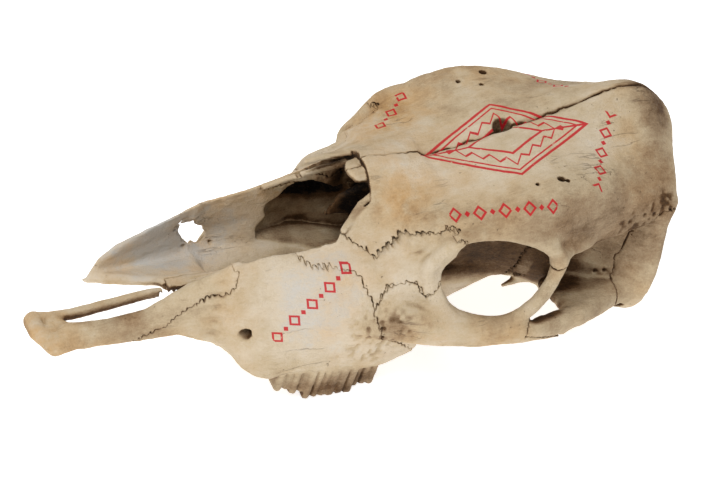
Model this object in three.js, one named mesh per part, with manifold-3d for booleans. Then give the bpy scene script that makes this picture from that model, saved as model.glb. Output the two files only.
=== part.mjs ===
// Polled cow skull without its lower jaw, at life size, resting on its cheek teeth and neck processes.
// Millimetres. While it is shaped, +X runs from the muzzle to the poll, the animal's left is -Y, +Z is up
// and the tooth row ends at Z 0. At the end it is tipped to its rest pose, with the floor at Z 0.

import * as THREE from 'three';
import { mergeVertices } from 'three/addons/utils/BufferGeometryUtils.js';
import { SimplifyModifier } from 'three/addons/modifiers/SimplifyModifier.js';
import Module from 'manifold-3d';

// Driving dimensions
const GRID_STEP = 2.3;
const FIELD_BOX = { min: [-8, -122, -6], max: [452, 122, 214] };
const SKULL_TRIANGLES = 8200;
const SUTURE_GAP = 0.3;
const REST_TILT_DEG = 8.3;
const FLOOR_TRIM = 1;
const SHORTEST_EDGE = 0.05;
const TOUCH_SHIFT = 0.06;
const SAME_PLACE = 0.01;
const WELD = 1e-4;
const BLEND = 6;
const HOLLOW_BLEND = 3;
const EDGE_BLEND = 1.5;
const TOOTH_BLEND = 1;

// Long lines of the skull, each as [distance from the muzzle tip, half width, height]
const FACE_LINES = [
  [[118, -6, 38], [160, -6, 38], [200, -6, 40], [232, -6, 46], [252, -6, 62]],
  [[118, 28, 32], [160, 38, 29], [200, 42, 28], [232, 42, 30], [252, 28, 48]],
  [[118, 37, 29], [130, 42, 23], [146, 47, 19], [165, 46, 20], [200, 48, 20], [232, 44, 22], [252, 38, 36]],
  [[118, 42, 30], [127, 47, 24], [135, 57, 18], [146, 66, 17], [165, 66, 19], [200, 68, 19], [232, 66, 18],
   [252, 63, 26]],
  [[118, 46, 46], [148, 64, 46], [200, 72, 44], [232, 74, 41], [252, 74, 44]],
  [[118, 45, 58], [148, 58, 62], [200, 77, 70], [232, 79, 76], [252, 82, 80]],
  [[118, 41, 74], [148, 48, 82], [180, 58, 98], [200, 61, 102], [232, 76, 105], [252, 85, 106]],
  [[118, 38, 89], [137, 38, 97], [162, 38, 100], [180, 40, 104], [202, 42, 114], [232, 57, 127],
   [252, 73, 133]],
  [[118, 30, 92], [137, 31, 98], [162, 31, 101], [180, 31, 109], [200, 22, 134], [232, 28, 143],
   [252, 30, 146]],
  [[118, -6, 92], [137, -6, 98], [162, -6, 101], [180, -6, 113], [200, -6, 140], [232, -6, 144],
   [252, -6, 145]],
];
const CRANIUM_LINES = [
  [[226, -6, 62], [300, -6, 56], [345, -6, 52], [375, -6, 48], [446, -6, 50]],
  [[226, 20, 60], [300, 20, 58], [345, 24, 54], [375, 28, 47], [436, 34, 48]],
  [[226, 30, 76], [300, 28, 74], [345, 42, 68], [375, 52, 60], [395, 58, 54], [420, 68, 53], [440, 68, 53]],
  [[226, 35, 95], [300, 34, 94], [345, 48, 90], [375, 54, 84], [395, 64, 78], [420, 81, 72], [436, 81, 72]],
  [[226, 38, 112], [300, 38, 112], [345, 48, 106], [375, 52, 102], [395, 59, 102], [420, 81, 100],
   [436, 81, 100]],
  [[226, 46, 122], [280, 44, 132], [312, 50, 128], [345, 56, 115], [375, 57, 116], [395, 61, 122],
   [420, 73, 132]],
  [[226, 64, 120], [250, 68, 128], [280, 74, 136], [312, 84, 137], [345, 79, 124], [372, 73, 127],
   [390, 71, 131], [408, 70, 139], [420, 70, 151]],
  [[226, 60, 128], [250, 66, 138], [280, 74, 155], [312, 76, 167], [343, 70, 168], [361, 69, 164],
   [389, 66, 159], [413, 64, 158], [436, 60, 157]],
  [[226, 44, 137], [250, 50, 143], [280, 52, 155], [312, 50, 170], [345, 45, 175], [395, 40, 175],
   [420, 40, 175], [436, 40, 169]],
  [[226, -6, 144], [250, -6, 144.5], [280, -6, 151], [312, -6, 162], [345, -6, 173], [408, -6, 198],
   [444, -6, 180]],
];
const NASAL_CAVITY_LINES = [
  [[30, -6, 48], [100, -6, 48], [160, -6, 52], [240, -6, 62]],
  [[30, 24, 46], [100, 30, 46], [118, 35, 45], [140, 30, 46], [166, 25, 49], [240, 22, 64]],
  [[30, 30, 60], [100, 36, 56], [118, 41, 57], [140, 38, 59], [166, 32, 62], [240, 30, 84]],
  [[30, 32, 150], [100, 31, 82], [118, 34, 84], [150, 34, 95], [166, 34, 100], [190, 34, 110],
   [202, 30, 118], [240, 30, 118]],
  [[30, 32, 220], [165, 30, 220], [192, 29, 195], [204, 21, 165], [214, 13, 134], [240, 20, 132]],
  [[30, -6, 220], [165, -6, 220], [192, -6, 195], [204, -6, 148], [212, -6, 136], [240, -6, 136]],
];
const SECTION_STEPS = 4;
const WEB_ROWS = 5;
const WEB_BLEND = 3;
const WEB_POINTS = 5;
const LOFT_REACH = 20;
const FAR = 260;

// Left premaxilla: front plate, inner bar beside the palate slit and the outer bar up to the maxilla
const PREMAXILLA_INNER = [
  [6, 4, 31, 3.5], [28, 6, 34, 4], [56, 6, 41, 3.6], [80, 6, 47, 3.4], [104, 8, 47, 4],
];
const PREMAXILLA_FRONT = [
  [2, 6, 31, 5.5], [3, 17, 32, 6], [11, 30, 31, 6], [22, 22, 33, 5.5], [14, 12, 33, 5.5], [10, 20, 32, 5],
];
const PREMAXILLA_EDGE = [
  [12, 31, 31, 4], [40, 32, 34.5, 4], [60, 32, 35, 4], [90, 33, 39, 4], [118, 41, 36, 5],
];
const PREMAXILLA_BAR = [
  [20, 24, 38, 4], [40, 25, 40, 3.8], [56, 25, 42, 3.6], [72, 26, 48, 3.6], [86, 27, 60, 3.6],
  [98, 28, 71, 3.6], [110, 32, 85, 3.6], [122, 34, 89, 3.6],
];

// Front of the right maxilla, whose own premaxilla is missing
const RIGHT_PLATE_LOW = [[48, 29, 34, 2.4], [80, 33, 34, 3], [120, 40, 35, 4.5]];
const RIGHT_PALATE = [[58, 18, 40, 2.2], [84, 7, 45, 2.4], [120, 6, 46, 3.6]];
const RIGHT_PLATE_HIGH = [[52, 29, 48, 2.2], [81, 31, 71, 2.2], [118, 35, 90, 2.6]];
const RIGHT_LIP = [[163, 31, 102, 2.4], [178, 28, 111, 2.6], [196, 22, 123, 3], [212, 16, 133, 4]];
const RIGHT_PLATE_MID = [[50, 30, 42, 2.2], [80, 35, 49, 2.2], [118, 42, 58, 2.4]];
const RIGHT_HOLE = [[113, 29, 68, 8.3], [135, 60, 39, 8.3]];
const RIGHT_RECESS = { at: [208, 34, 58], size: [42, 15, 44], floor: 54 };
const FRONTAL_SLIVER = [[178, 14, 136, 2.2], [194, 16, 138, 3], [220, 16, 140, 4]];

// Broken upper edge of the right side: [x, z] at 30 mm from the middle, and its slant over y
const RIGHT_EDGE = [
  [48, 31], [53.7, 47.7], [63, 58.5], [81, 70], [99, 80], [117, 92], [149.5, 101], [161, 105.5],
  [175, 111.5], [187, 118], [198, 123.4], [215, 132], [240, 132],
];
const EDGE_SLANT = { y: 30, xPerY: 0.5, zPerY: 0.87, fromY: 8, toX: 206, steepness: 0.7 };

// The right side is a little narrower before the eye and wider beside it
const RIGHT_NARROW = { share: 0.08, middle: 232, reach: 18 };
const RIGHT_WIDE = { share: 0.05, middle: 276, reach: 20 };

// Eye socket: a closed rim, [x, half width, z, radius], and the hollow behind it
const ORBIT_RIM = [
  [236, 76, 112, 5], [245, 74, 128, 5], [259, 75, 141, 4.5], [288, 78, 143, 4.5], [314, 86, 138, 5],
  [327, 88, 125, 5.5], [325, 92, 109, 4.8], [315, 96, 94, 4.8], [298, 96, 79, 5.5], [274, 90, 75, 6.5],
  [252, 82, 86, 6],
];
const ORBIT_HOLLOW = { at: [283, 82, 109], size: [38, 44, 30] };
const ORBIT_PIT = { at: [268, 56, 104], size: [22, 26, 26] };

// Cheek arch, the plate behind the eye and the shelf from the arch's root to the braincase
const BAR_FLANGE = [[328, 87, 127, 5], [340, 80, 128, 5], [356, 74, 128, 4.5]];
const ARCH_TOP = [
  [224, 80, 84, 7], [262, 90, 74, 7], [292, 98, 74, 6.5], [322, 103, 78, 5], [352, 97, 80, 4],
];
const ARCH_BOTTOM = [
  [214, 76, 66, 8], [245, 84, 63, 7], [274, 93, 65, 6], [300, 100, 70, 5], [340, 101, 70, 3.5],
];
const ARCH_REAR = [
  [326, 99, 76, 5], [340, 98, 79, 6], [356, 95, 78, 6], [374, 86, 75, 6.5], [394, 74, 72, 8],
];
const SHELF_INNER = [[352, 58, 74, 5], [372, 54, 72, 6], [398, 58, 70, 8]];
const EAR_REGION = [[392, 72, 72, 8], [408, 70, 72, 12]];
const EAR_HOLE = { at: [403, 80, 65], size: [9, 12, 5] };
const EAR_SPUR = [[374, 30, 60, 6], [360, 27, 53, 4], [345, 25, 43.5, 1.6]];

// Neck joint, neck processes and the plates below the braincase
const CONDYLE = { at: [425, 26, 66], size: [15, 15, 20] };
const NECK_PROCESS = [[410, 56, 66, 12], [410, 52, 46, 8], [409, 49, 28.6, 5.5]];
const EAR_BULB = { at: [380, 40, 50], size: [13, 9, 12] };
const PTERYGOID_TOP = [[254, 28, 66, 5], [300, 28, 66, 4], [340, 28, 72, 4]];
const PTERYGOID_EDGE = [
  [254, 27, 52, 4], [276, 26, 42, 3.4], [292, 26, 39, 3], [302, 26, 45, 3], [328, 27, 66, 3.4],
];
const PTERYGOID_HOOK = [[276, 27, 50, 3.4], [286, 25, 40, 3], [290, 26, 33, 2.4]];
const NECK_CANAL = { from: [386, 0, 88], to: [450, 0, 80], radius: 15 };
const NECK_PLANE = { x: 428, poll: 16, pollHalf: 65, pollFrom: 130, pollTo: 180, round: 10 };
const BRAIN_HOLE = { from: [320, 1, 140], to: [308, 3, 190], radius: 6.5 };
const BROW_HOLE = { from: [330, 56, 150], to: [322, 60, 190], radius: 3 };
const CHEEK_HOLE = { from: [145, 42, 56], to: [120, 60, 42], radius: 4 };
const CHOANA = { at: [282, 0, 58], size: [40, 15, 15] };
const MUZZLE_RIDGE = [[94, 2, 46, 2.4], [130, 0, 51, 3.2], [160, 0, 54, 3.4], [232, 0, 66, 4]];
const SCROLL_BONES = [[196, 12, 96, 5], [214, 14, 106, 7], [236, 16, 112, 9]];

// Cheek teeth of one side, front to back: [x, half width, length, width, height of the front and rear end]
const TOOTH_ROW = [
  [164, 57, 12, 13, 1, 0], [175, 58, 12, 15, -1.5, -2], [188, 59, 17, 17, -4.5, -4],
  [206, 59, 20, 18, -4.8, -5], [225, 56, 18, 17, -3.4, -1.9],
];
const TOOTH_ROOT_Z = 34;
const TOOTH_COLUMN_ROUND = 3.2;
const TOOTH_CUSP_SLOPE = 0.35;
const TOOTH_LEAN = 0.06;
const TWO_LOBES_FROM = 16.5;
const CUSP_FLAT = 2;

// Bone colours from the photo
const CREAM = '#d9c9ab';
const PALE = '#e2d8c4';
const TAN = '#c9b18a';
const IVORY = '#ddd0b2';

// Smooth union and cut of two signed distances
function join(a, b, blend) {
  const h = Math.max(blend - Math.abs(a - b), 0) / blend;
  return Math.min(a, b) - h * h * blend * 0.25;
}

function cut(a, hole, blend) {
  return -join(-a, hole, blend);
}

// Smooth value of one column of a knotted line at x
function alongLine(line, x, column) {
  const last = line.length - 1;
  if (x <= line[0][0]) return line[0][column];
  if (x >= line[last][0]) return line[last][column];
  let i = 0;
  while (x > line[i + 1][0]) i += 1;
  const slope = (a, b) => (line[b][column] - line[a][column]) / (line[b][0] - line[a][0]);
  const step = line[i + 1][0] - line[i][0];
  const here = slope(i, i + 1);
  const before = i > 0 ? (slope(i - 1, i) + here) / 2 : here;
  const after = i + 1 < last ? (here + slope(i + 1, i + 2)) / 2 : here;
  const t = (x - line[i][0]) / step;
  const a = line[i][column];
  const b = line[i + 1][column];
  const rise = t * t * (3 - 2 * t);
  return a + (b - a) * rise + step * t * (1 - t) * ((1 - t) * before - t * after);
}

// Cross section of a set of long lines at x: a closed smooth curve through the lines
function sectionAt(lines, x) {
  const corners = lines.map((line) => [alongLine(line, x, 1), alongLine(line, x, 2)]);
  const count = corners.length;
  const points = [];
  for (let i = 0; i < count; i += 1) {
    const [p0, p1, p2, p3] = [-1, 0, 1, 2].map((k) => corners[(i + k + count) % count]);
    for (let s = 0; s < SECTION_STEPS; s += 1) {
      const t = s / SECTION_STEPS;
      const spline = (k) => 0.5 * (2 * p1[k] + (p2[k] - p0[k]) * t
        + (2 * p0[k] - 5 * p1[k] + 4 * p2[k] - p3[k]) * t * t
        + (3 * p1[k] - p0[k] - 3 * p2[k] + p3[k]) * t * t * t);
      points.push([spline(0), spline(1)]);
    }
  }
  return points;
}

// Signed distance from a point to a closed polygon
function polygonDistance(points, u, v) {
  let nearest = Infinity;
  let inside = false;
  for (let i = 0, j = points.length - 1; i < points.length; j = i, i += 1) {
    const [au, av] = points[j];
    const [bu, bv] = points[i];
    const eu = bu - au;
    const ev = bv - av;
    const t = Math.min(1, Math.max(0, ((u - au) * eu + (v - av) * ev) / (eu * eu + ev * ev)));
    const du = u - au - eu * t;
    const dv = v - av - ev * t;
    nearest = Math.min(nearest, du * du + dv * dv);
    if ((av > v) !== (bv > v) && u < au + ((v - av) * eu) / ev) inside = !inside;
  }
  return inside ? -Math.sqrt(nearest) : Math.sqrt(nearest);
}

// A body between two x values whose sections follow the long lines
function loft(lines, side = 0) {
  const from = lines[0][0][0];
  const to = lines[0][lines[0].length - 1][0];
  let cachedX = NaN;
  let section = [];
  return (x, y, z) => {
    const ends = Math.max(from - x, x - to);
    if (ends > LOFT_REACH) return ends;
    if (x !== cachedX) {
      section = sectionAt(lines, Math.min(to, Math.max(from, x)));
      cachedX = x;
    }
    const half = side === 0 ? Math.abs(y) : y * side;
    return Math.max(polygonDistance(section, half, z), ends);
  };
}

// Round rod between two points with a radius at each, as a signed distance
function rodDistance(x, y, z, a, b) {
  const ex = b[0] - a[0];
  const ey = b[1] - a[1];
  const ez = b[2] - a[2];
  const along = ((x - a[0]) * ex + (y - a[1]) * ey + (z - a[2]) * ez) / (ex * ex + ey * ey + ez * ez);
  const t = Math.min(1, Math.max(0, along));
  const dx = x - a[0] - ex * t;
  const dy = y - a[1] - ey * t;
  const dz = z - a[2] - ez * t;
  return Math.sqrt(dx * dx + dy * dy + dz * dz) - a[3] - (b[3] - a[3]) * t;
}

// Chain of rods; side 0 makes it on both sides, -1 on the left and 1 on the right
function chain(points, side = 0, closed = false) {
  const reach = closed ? points.length : points.length - 1;
  return (x, y, z) => {
    const half = side === 0 ? Math.abs(y) : y * side;
    let nearest = Infinity;
    for (let i = 0; i < reach; i += 1) {
      nearest = Math.min(nearest, rodDistance(x, half, z, points[i], points[(i + 1) % points.length]));
    }
    return nearest;
  };
}

// Thin curved plate spanned between two chains
function web(low, high, side = 0) {
  const chains = [];
  for (let row = 0; row <= WEB_ROWS; row += 1) {
    const t = row / WEB_ROWS;
    const x0 = low[0][0] * (1 - t) + high[0][0] * t;
    const x1 = low[low.length - 1][0] * (1 - t) + high[high.length - 1][0] * t;
    const points = Array.from({ length: WEB_POINTS }, (_, k) => {
      const u = k / (WEB_POINTS - 1);
      const xl = low[0][0] + (low[low.length - 1][0] - low[0][0]) * u;
      const xh = high[0][0] + (high[high.length - 1][0] - high[0][0]) * u;
      const mix = (c) => alongLine(low, xl, c) * (1 - t) + alongLine(high, xh, c) * t;
      return [x0 + (x1 - x0) * u, mix(1), mix(2), mix(3)];
    });
    chains.push(chain(points, side));
  }
  return (x, y, z) => chains.reduce((nearest, one) => join(nearest, one(x, y, z), WEB_BLEND), FAR);
}

function ellipsoid({ at, size, floor = -FAR }, side = 0) {
  const least = Math.min(...size);
  return (x, y, z) => {
    const half = side === 0 ? Math.abs(y) : y * side;
    const u = (x - at[0]) / size[0];
    const v = (half - at[1]) / size[1];
    const w = (z - at[2]) / size[2];
    return Math.max((Math.sqrt(u * u + v * v + w * w) - 1) * least, floor - z);
  };
}

function bore({ from, to, radius }, side = 0) {
  return chain([[...from, radius], [...to, radius]], side);
}

// Cheek teeth: each molar is two columns side by side, cut at its worn end
function toothRow() {
  const columns = [];
  for (const [x, half, length, width, front, rear] of TOOTH_ROW) {
    const lobes = length > TWO_LOBES_FROM ? 2 : 1;
    for (let k = 0; k < lobes; k += 1) {
      const centre = x + (k - (lobes - 1) / 2) * (length / lobes);
      const reach = length / lobes / 2 + 0.2;
      columns.push({ x: centre, half, reach, width: width / 2, bottom: k === 0 ? front : rear });
    }
  }
  return (x, y, z) => {
    const side = Math.abs(y);
    let nearest = FAR;
    for (const tooth of columns) {
      const du = Math.max(Math.abs(x - tooth.x) - tooth.reach + TOOTH_COLUMN_ROUND, 0);
      const lean = (z - tooth.bottom) * TOOTH_LEAN;
      const cusp = tooth.bottom + TOOTH_CUSP_SLOPE * Math.max(0, Math.abs(x - tooth.x) - CUSP_FLAT);
      const dv = Math.max(Math.abs(side - tooth.half - lean) - tooth.width + TOOTH_COLUMN_ROUND, 0);
      const ring = Math.sqrt(du * du + dv * dv) - TOOTH_COLUMN_ROUND;
      const ends = Math.max(cusp - z, z - TOOTH_ROOT_Z);
      nearest = Math.min(nearest, Math.max(ring, ends));
    }
    return nearest;
  };
}

// Space above the broken edge of the right side, negative where bone is missing
function aboveRightEdge(x, y, z) {
  const along = x - EDGE_SLANT.xPerY * (y - EDGE_SLANT.y);
  const next = Math.min(RIGHT_EDGE.length - 1, Math.max(1, RIGHT_EDGE.findIndex(([edgeX]) => edgeX > along)));
  const [x0, z0] = RIGHT_EDGE[next - 1];
  const [x1, z1] = RIGHT_EDGE[next];
  const t = Math.min(1, Math.max(0, (along - x0) / (x1 - x0)));
  const above = z0 + (z1 - z0) * t - z - EDGE_SLANT.zPerY * (y - EDGE_SLANT.y);
  return Math.max(above * EDGE_SLANT.steepness, EDGE_SLANT.fromY - y, x - EDGE_SLANT.toX);
}

// Face of the neck end, bulging back at the poll, negative behind it
function neckFace(x, y, z) {
  const { pollFrom, pollTo, pollHalf, poll } = NECK_PLANE;
  const height = Math.min(1, Math.max(0, (z - pollFrom) / (pollTo - pollFrom)));
  const bulge = poll * height * Math.exp(-((y / pollHalf) ** 2));
  return NECK_PLANE.x + bulge - x;
}

// The whole skull as one signed distance, negative in bone
function skullField() {
  const face = loft(FACE_LINES);
  const cranium = loft(CRANIUM_LINES);
  const nasalCavity = loft(NASAL_CAVITY_LINES);
  const recess = ellipsoid(RIGHT_RECESS, 1);
  const hollows = [ellipsoid(ORBIT_HOLLOW), ellipsoid(ORBIT_PIT), ellipsoid(CHOANA), bore(NECK_CANAL)];
  const smallHoles = [
    bore(BRAIN_HOLE, 1), bore(BROW_HOLE), bore(CHEEK_HOLE), chain(RIGHT_HOLE, 1), ellipsoid(EAR_HOLE),
  ];
  const rods = [
    chain(ORBIT_RIM, 0, true), web(ARCH_BOTTOM, ARCH_TOP), chain(ARCH_REAR), chain(EAR_REGION),
    chain(EAR_SPUR), chain(BAR_FLANGE), chain(NECK_PROCESS), chain(PTERYGOID_HOOK), chain(MUZZLE_RIDGE),
    chain(SCROLL_BONES), web(ARCH_REAR.slice(2), SHELF_INNER), web(PTERYGOID_EDGE, PTERYGOID_TOP),
    ellipsoid(CONDYLE), ellipsoid(EAR_BULB), web(PREMAXILLA_EDGE, PREMAXILLA_BAR, -1),
    chain(PREMAXILLA_FRONT, -1), chain(PREMAXILLA_INNER, -1), web(RIGHT_PLATE_LOW, RIGHT_PLATE_MID, 1),
    web(RIGHT_PLATE_MID, RIGHT_PLATE_HIGH, 1), web(RIGHT_PLATE_LOW, RIGHT_PALATE, 1),
  ];
  const fragments = [chain(RIGHT_LIP, 1), chain(FRONTAL_SLIVER, 1)];
  const teeth = toothRow();
  return (x, y, z) => {
    let d = join(face(x, y, z), cranium(x, y, z), BLEND);
    d = cut(d, neckFace(x, y, z), NECK_PLANE.round);
    d = cut(d, nasalCavity(x, y, z), HOLLOW_BLEND);
    d = cut(d, recess(x, y, z), EDGE_BLEND);
    for (const hollow of hollows) d = cut(d, hollow(x, y, z), HOLLOW_BLEND);
    for (const rod of rods) d = join(d, rod(x, y, z), BLEND);
    d = cut(d, aboveRightEdge(x, y, z), EDGE_BLEND);
    for (const fragment of fragments) d = join(d, fragment(x, y, z), BLEND);
    d = join(d, teeth(x, y, z), TOOTH_BLEND);
    for (const hole of smallHoles) d = cut(d, hole(x, y, z), EDGE_BLEND);
    return d;
  };
}

// Closed surface of the field by marching tetrahedra; its points keep a little away from the grid's corners
const CORNER_MARGIN = 0.05;
const NEIGHBOURS = [0, 1, 2, 3, 4, 5, 6, 7];
function surfaceOf(field) {
  const { min, max } = FIELD_BOX;
  const size = min.map((low, k) => Math.ceil((max[k] - low) / GRID_STEP) + 1);
  const [nx, ny, nz] = size;
  const place = (i, j, k) => [min[0] + i * GRID_STEP, min[1] + j * GRID_STEP, min[2] + k * GRID_STEP];
  const values = new Float32Array(nx * ny * nz);
  for (let i = 0; i < nx; i += 1) {
    for (let j = 0; j < ny; j += 1) {
      for (let k = 0; k < nz; k += 1) {
        values[(i * ny + j) * nz + k] = field(...place(i, j, k));
      }
    }
  }
  const positions = [];
  const triangles = [];
  const edgeVertex = new Map();
  const corner = (index) => place(Math.floor(index / (ny * nz)), Math.floor(index / nz) % ny, index % nz);
  const crossing = (a, b) => {
    const [low, high] = a < b ? [a, b] : [b, a];
    const key = low * 8 * nx * ny * nz + high;
    if (!edgeVertex.has(key)) {
      const share = values[low] / (values[low] - values[high]);
      const t = Math.min(1 - CORNER_MARGIN, Math.max(CORNER_MARGIN, share));
      const from = corner(low);
      const to = corner(high);
      edgeVertex.set(key, positions.length / 3);
      positions.push(...from.map((value, axis) => value + (to[axis] - value) * t));
    }
    return edgeVertex.get(key);
  };
  const offsets = NEIGHBOURS.map((c) => ((c >> 2) * ny + ((c >> 1) & 1)) * nz + (c & 1));
  const tetrahedra = [[0, 1, 3, 7], [0, 3, 2, 7], [0, 2, 6, 7], [0, 6, 4, 7], [0, 4, 5, 7], [0, 5, 1, 7]];
  const emit = (inside, outside) => {
    // One corner inside, or one outside, gives a triangle; two and two give a quad
    if (inside.length === 1) {
      triangles.push(outside.map((o) => crossing(inside[0], o)));
    } else if (outside.length === 1) {
      triangles.push(inside.map((i) => crossing(i, outside[0])));
    } else {
      const [a, b] = inside;
      const [c, d] = outside;
      const [ac, ad, bd, bc] = [crossing(a, c), crossing(a, d), crossing(b, d), crossing(b, c)];
      triangles.push([ac, ad, bd], [ac, bd, bc]);
    }
  };
  const outward = (triangle, insidePoint) => {
    const [a, b, c] = triangle.map((v) => new THREE.Vector3().fromArray(positions, v * 3));
    const normal = b.clone().sub(a).cross(c.clone().sub(a));
    return normal.dot(a.clone().sub(insidePoint)) >= 0 ? triangle : [triangle[0], triangle[2], triangle[1]];
  };
  for (let i = 0; i < nx - 1; i += 1) {
    for (let j = 0; j < ny - 1; j += 1) {
      for (let k = 0; k < nz - 1; k += 1) {
        const base = (i * ny + j) * nz + k;
        const count = offsets.filter((offset) => values[base + offset] < 0).length;
        if (count === 0 || count === 8) continue;
        for (const tetrahedron of tetrahedra) {
          const corners = tetrahedron.map((c) => base + offsets[c]);
          const inside = corners.filter((c) => values[c] < 0);
          if (inside.length === 0 || inside.length === 4) continue;
          const outside = corners.filter((c) => values[c] >= 0);
          const first = triangles.length;
          emit(inside, outside);
          const insidePoint = new THREE.Vector3(...corner(inside[0]));
          for (let t = first; t < triangles.length; t += 1) triangles[t] = outward(triangles[t], insidePoint);
        }
      }
    }
  }
  const geometry = new THREE.BufferGeometry();
  geometry.setAttribute('position', new THREE.BufferAttribute(new Float32Array(positions), 3));
  geometry.setIndex(triangles.flat());
  return geometry;
}

const wasm = await Module();
wasm.setup();

function toSolid(geometry) {
  const bare = geometry.clone();
  bare.deleteAttribute('normal');
  bare.deleteAttribute('uv');
  const merged = mergeVertices(bare, WELD);
  return new wasm.Manifold(new wasm.Mesh({
    numProp: 3,
    vertProperties: new Float32Array(merged.attributes.position.array),
    triVerts: new Uint32Array(merged.index.array),
  }));
}

function toGeometry(solid) {
  const mesh = solid.getMesh();
  const geometry = new THREE.BufferGeometry();
  geometry.setAttribute('position', new THREE.BufferAttribute(new Float32Array(mesh.vertProperties), 3));
  geometry.setIndex(new THREE.BufferAttribute(new Uint32Array(mesh.triVerts), 1));
  return geometry;
}

// Moves points that only touch each other slightly into their own sides
function withoutTouchingPoints(geometry, shift) {
  const position = geometry.attributes.position;
  const index = geometry.index.array;
  const places = new Map();
  for (let v = 0; v < position.count; v += 1) {
    const key = [0, 1, 2].map((axis) => Math.round(position.getComponent(v, axis) / SAME_PLACE)).join();
    places.set(key, [...(places.get(key) ?? []), v]);
  }
  const touching = [...places.values()].filter((points) => points.length > 1).flat();
  for (const v of touching) {
    const here = new THREE.Vector3().fromBufferAttribute(position, v);
    const towards = new THREE.Vector3();
    for (let i = 0; i < index.length; i += 3) {
      const corners = [index[i], index[i + 1], index[i + 2]];
      if (!corners.includes(v)) continue;
      for (const w of corners) towards.add(new THREE.Vector3().fromBufferAttribute(position, w).sub(here));
    }
    here.add(towards.setLength(shift));
    position.setXYZ(v, here.x, here.y, here.z);
  }
  return geometry;
}

// Closes edges shorter than the limit, where the surface stays a plain closed one
function withoutShortEdges(geometry, limit) {
  const point = new THREE.Vector3();
  const other = new THREE.Vector3();
  const position = geometry.attributes.position;
  const index = Array.from(geometry.index.array);
  const triangles = [];
  for (let i = 0; i < index.length; i += 3) triangles.push(index.slice(i, i + 3));
  const around = Array.from({ length: position.count }, () => new Set());
  triangles.forEach((triangle, t) => triangle.forEach((v) => around[v].add(t)));
  const neighbours = (v) => new Set([...around[v]].flatMap((t) => triangles[t]).filter((w) => w !== v));
  let closed = true;
  while (closed) {
    closed = false;
    for (let t = 0; t < triangles.length; t += 1) {
      for (let k = 0; triangles[t] && k < 3; k += 1) {
        const a = triangles[t][k];
        const b = triangles[t][(k + 1) % 3];
        point.fromBufferAttribute(position, a);
        other.fromBufferAttribute(position, b);
        if (point.distanceTo(other) >= limit) continue;
        const near = neighbours(b);
        const shared = [...neighbours(a)].filter((v) => near.has(v));
        if (shared.length !== 2) continue;
        for (const face of [...around[b]]) {
          if (triangles[face].includes(a)) {
            triangles[face].forEach((v) => around[v].delete(face));
            triangles[face] = null;
          } else {
            triangles[face] = triangles[face].map((v) => (v === b ? a : v));
            around[a].add(face);
          }
        }
        around[b].clear();
        closed = true;
      }
    }
  }
  const tidy = new THREE.BufferGeometry();
  tidy.setAttribute('position', position);
  tidy.setIndex(triangles.filter((triangle) => triangle).flat());
  return mergeVertices(tidy, WELD / 100);
}

// The right half of the surface is drawn in or out by its own share at each x
function withRightSide(geometry) {
  const position = geometry.attributes.position;
  const swell = (x, { share, middle, reach }) => share * Math.exp(-(((x - middle) / reach) ** 2));
  for (let v = 0; v < position.count; v += 1) {
    const x = position.getX(v);
    const scale = 1 - swell(x, RIGHT_NARROW) + swell(x, RIGHT_WIDE);
    if (position.getY(v) > 0) position.setY(v, position.getY(v) * scale);
  }
  return geometry;
}

function largest(solid) {
  return solid.decompose().sort((a, b) => b.volume() - a.volume())[0];
}

// Block over a side outline [x, z], between two y values, grown outward by a margin
function sideBlock(outline, from, to, margin = 0) {
  const count = outline.length;
  const area = outline.reduce((sum, [x, z], i) => {
    const [nx, nz] = outline[(i + 1) % count];
    return sum + x * nz - nx * z;
  }, 0);
  const turn = Math.sign(area);
  const grown = outline.map(([x, z], i) => {
    const [px, pz] = outline[(i + count - 1) % count];
    const [nx, nz] = outline[(i + 1) % count];
    const before = new THREE.Vector2(z - pz, px - x).normalize().multiplyScalar(turn);
    const after = new THREE.Vector2(nz - z, x - nx).normalize().multiplyScalar(turn);
    const push = before.clone().add(after).multiplyScalar(margin / (1 + before.dot(after)));
    return new THREE.Vector2(x + push.x, z + push.y);
  });
  const geometry = new THREE.ExtrudeGeometry(new THREE.Shape(grown), {
    depth: to - from + 2 * margin,
    bevelEnabled: false,
  });
  geometry.rotateX(Math.PI / 2);
  geometry.translate(0, to + margin, 0);
  return toSolid(geometry);
}

// Side outlines of the bones, [x, z], in the order in which they are parted
const OUTER_HALF = 130;
const PREMAXILLA_INNER_Y = 1;
const LACRIMAL_INNER_HALF = 20;
const ZYGOMATIC_INNER_HALF = 62;
const PREMAXILLA_SIDE = [
  [-20, 0], [58, 22], [62, 34], [81, 45], [93, 54.6], [106, 68], [114, 70], [121.5, 80], [121, 90],
  [112, 98], [112, 110], [-20, 110],
];
const FRONTAL_SIDE = [
  [160, 112], [190, 116], [196, 113], [208, 109.5], [221, 120], [227, 130], [245, 136.5], [254, 141],
  [262, 130], [290, 130], [318, 120], [332, 124], [345, 118], [372, 122], [390, 127], [408, 134], [418, 146],
  [455, 150], [455, FAR], [160, FAR],
];
const LACRIMAL_SIDE = [
  [154, 104], [162, 99.5], [169, 98], [187, 101], [196.6, 100.6], [207.4, 83], [214.4, 97], [225, 103],
  [231, 103.7], [237, 96.4], [242, 103], [262, 130], [254, 141], [245, 136.5], [227, 130], [221, 120],
  [208, 109.5], [196, 113], [190, 116], [160, 112], [152, 125],
];
const ZYGOMATIC_SIDE = [
  [207.4, 83], [215, 60], [252, 36], [346, 52], [344, 68], [308, 75.5], [311, 84], [322, 90], [340, 100],
  [332, 124], [318, 120], [290, 130], [262, 130], [242, 103], [237, 96.4], [231, 103.7], [225, 103],
  [214.4, 97],
];
const TEMPORAL_SIDE = [
  [346, 10], [352, 48], [398, 48], [402, 131.4], [390, 127], [372, 122], [345, 118], [332, 124], [340, 100],
  [322, 90], [311, 84], [308, 75.5], [344, 68], [346, 52],
];
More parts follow.
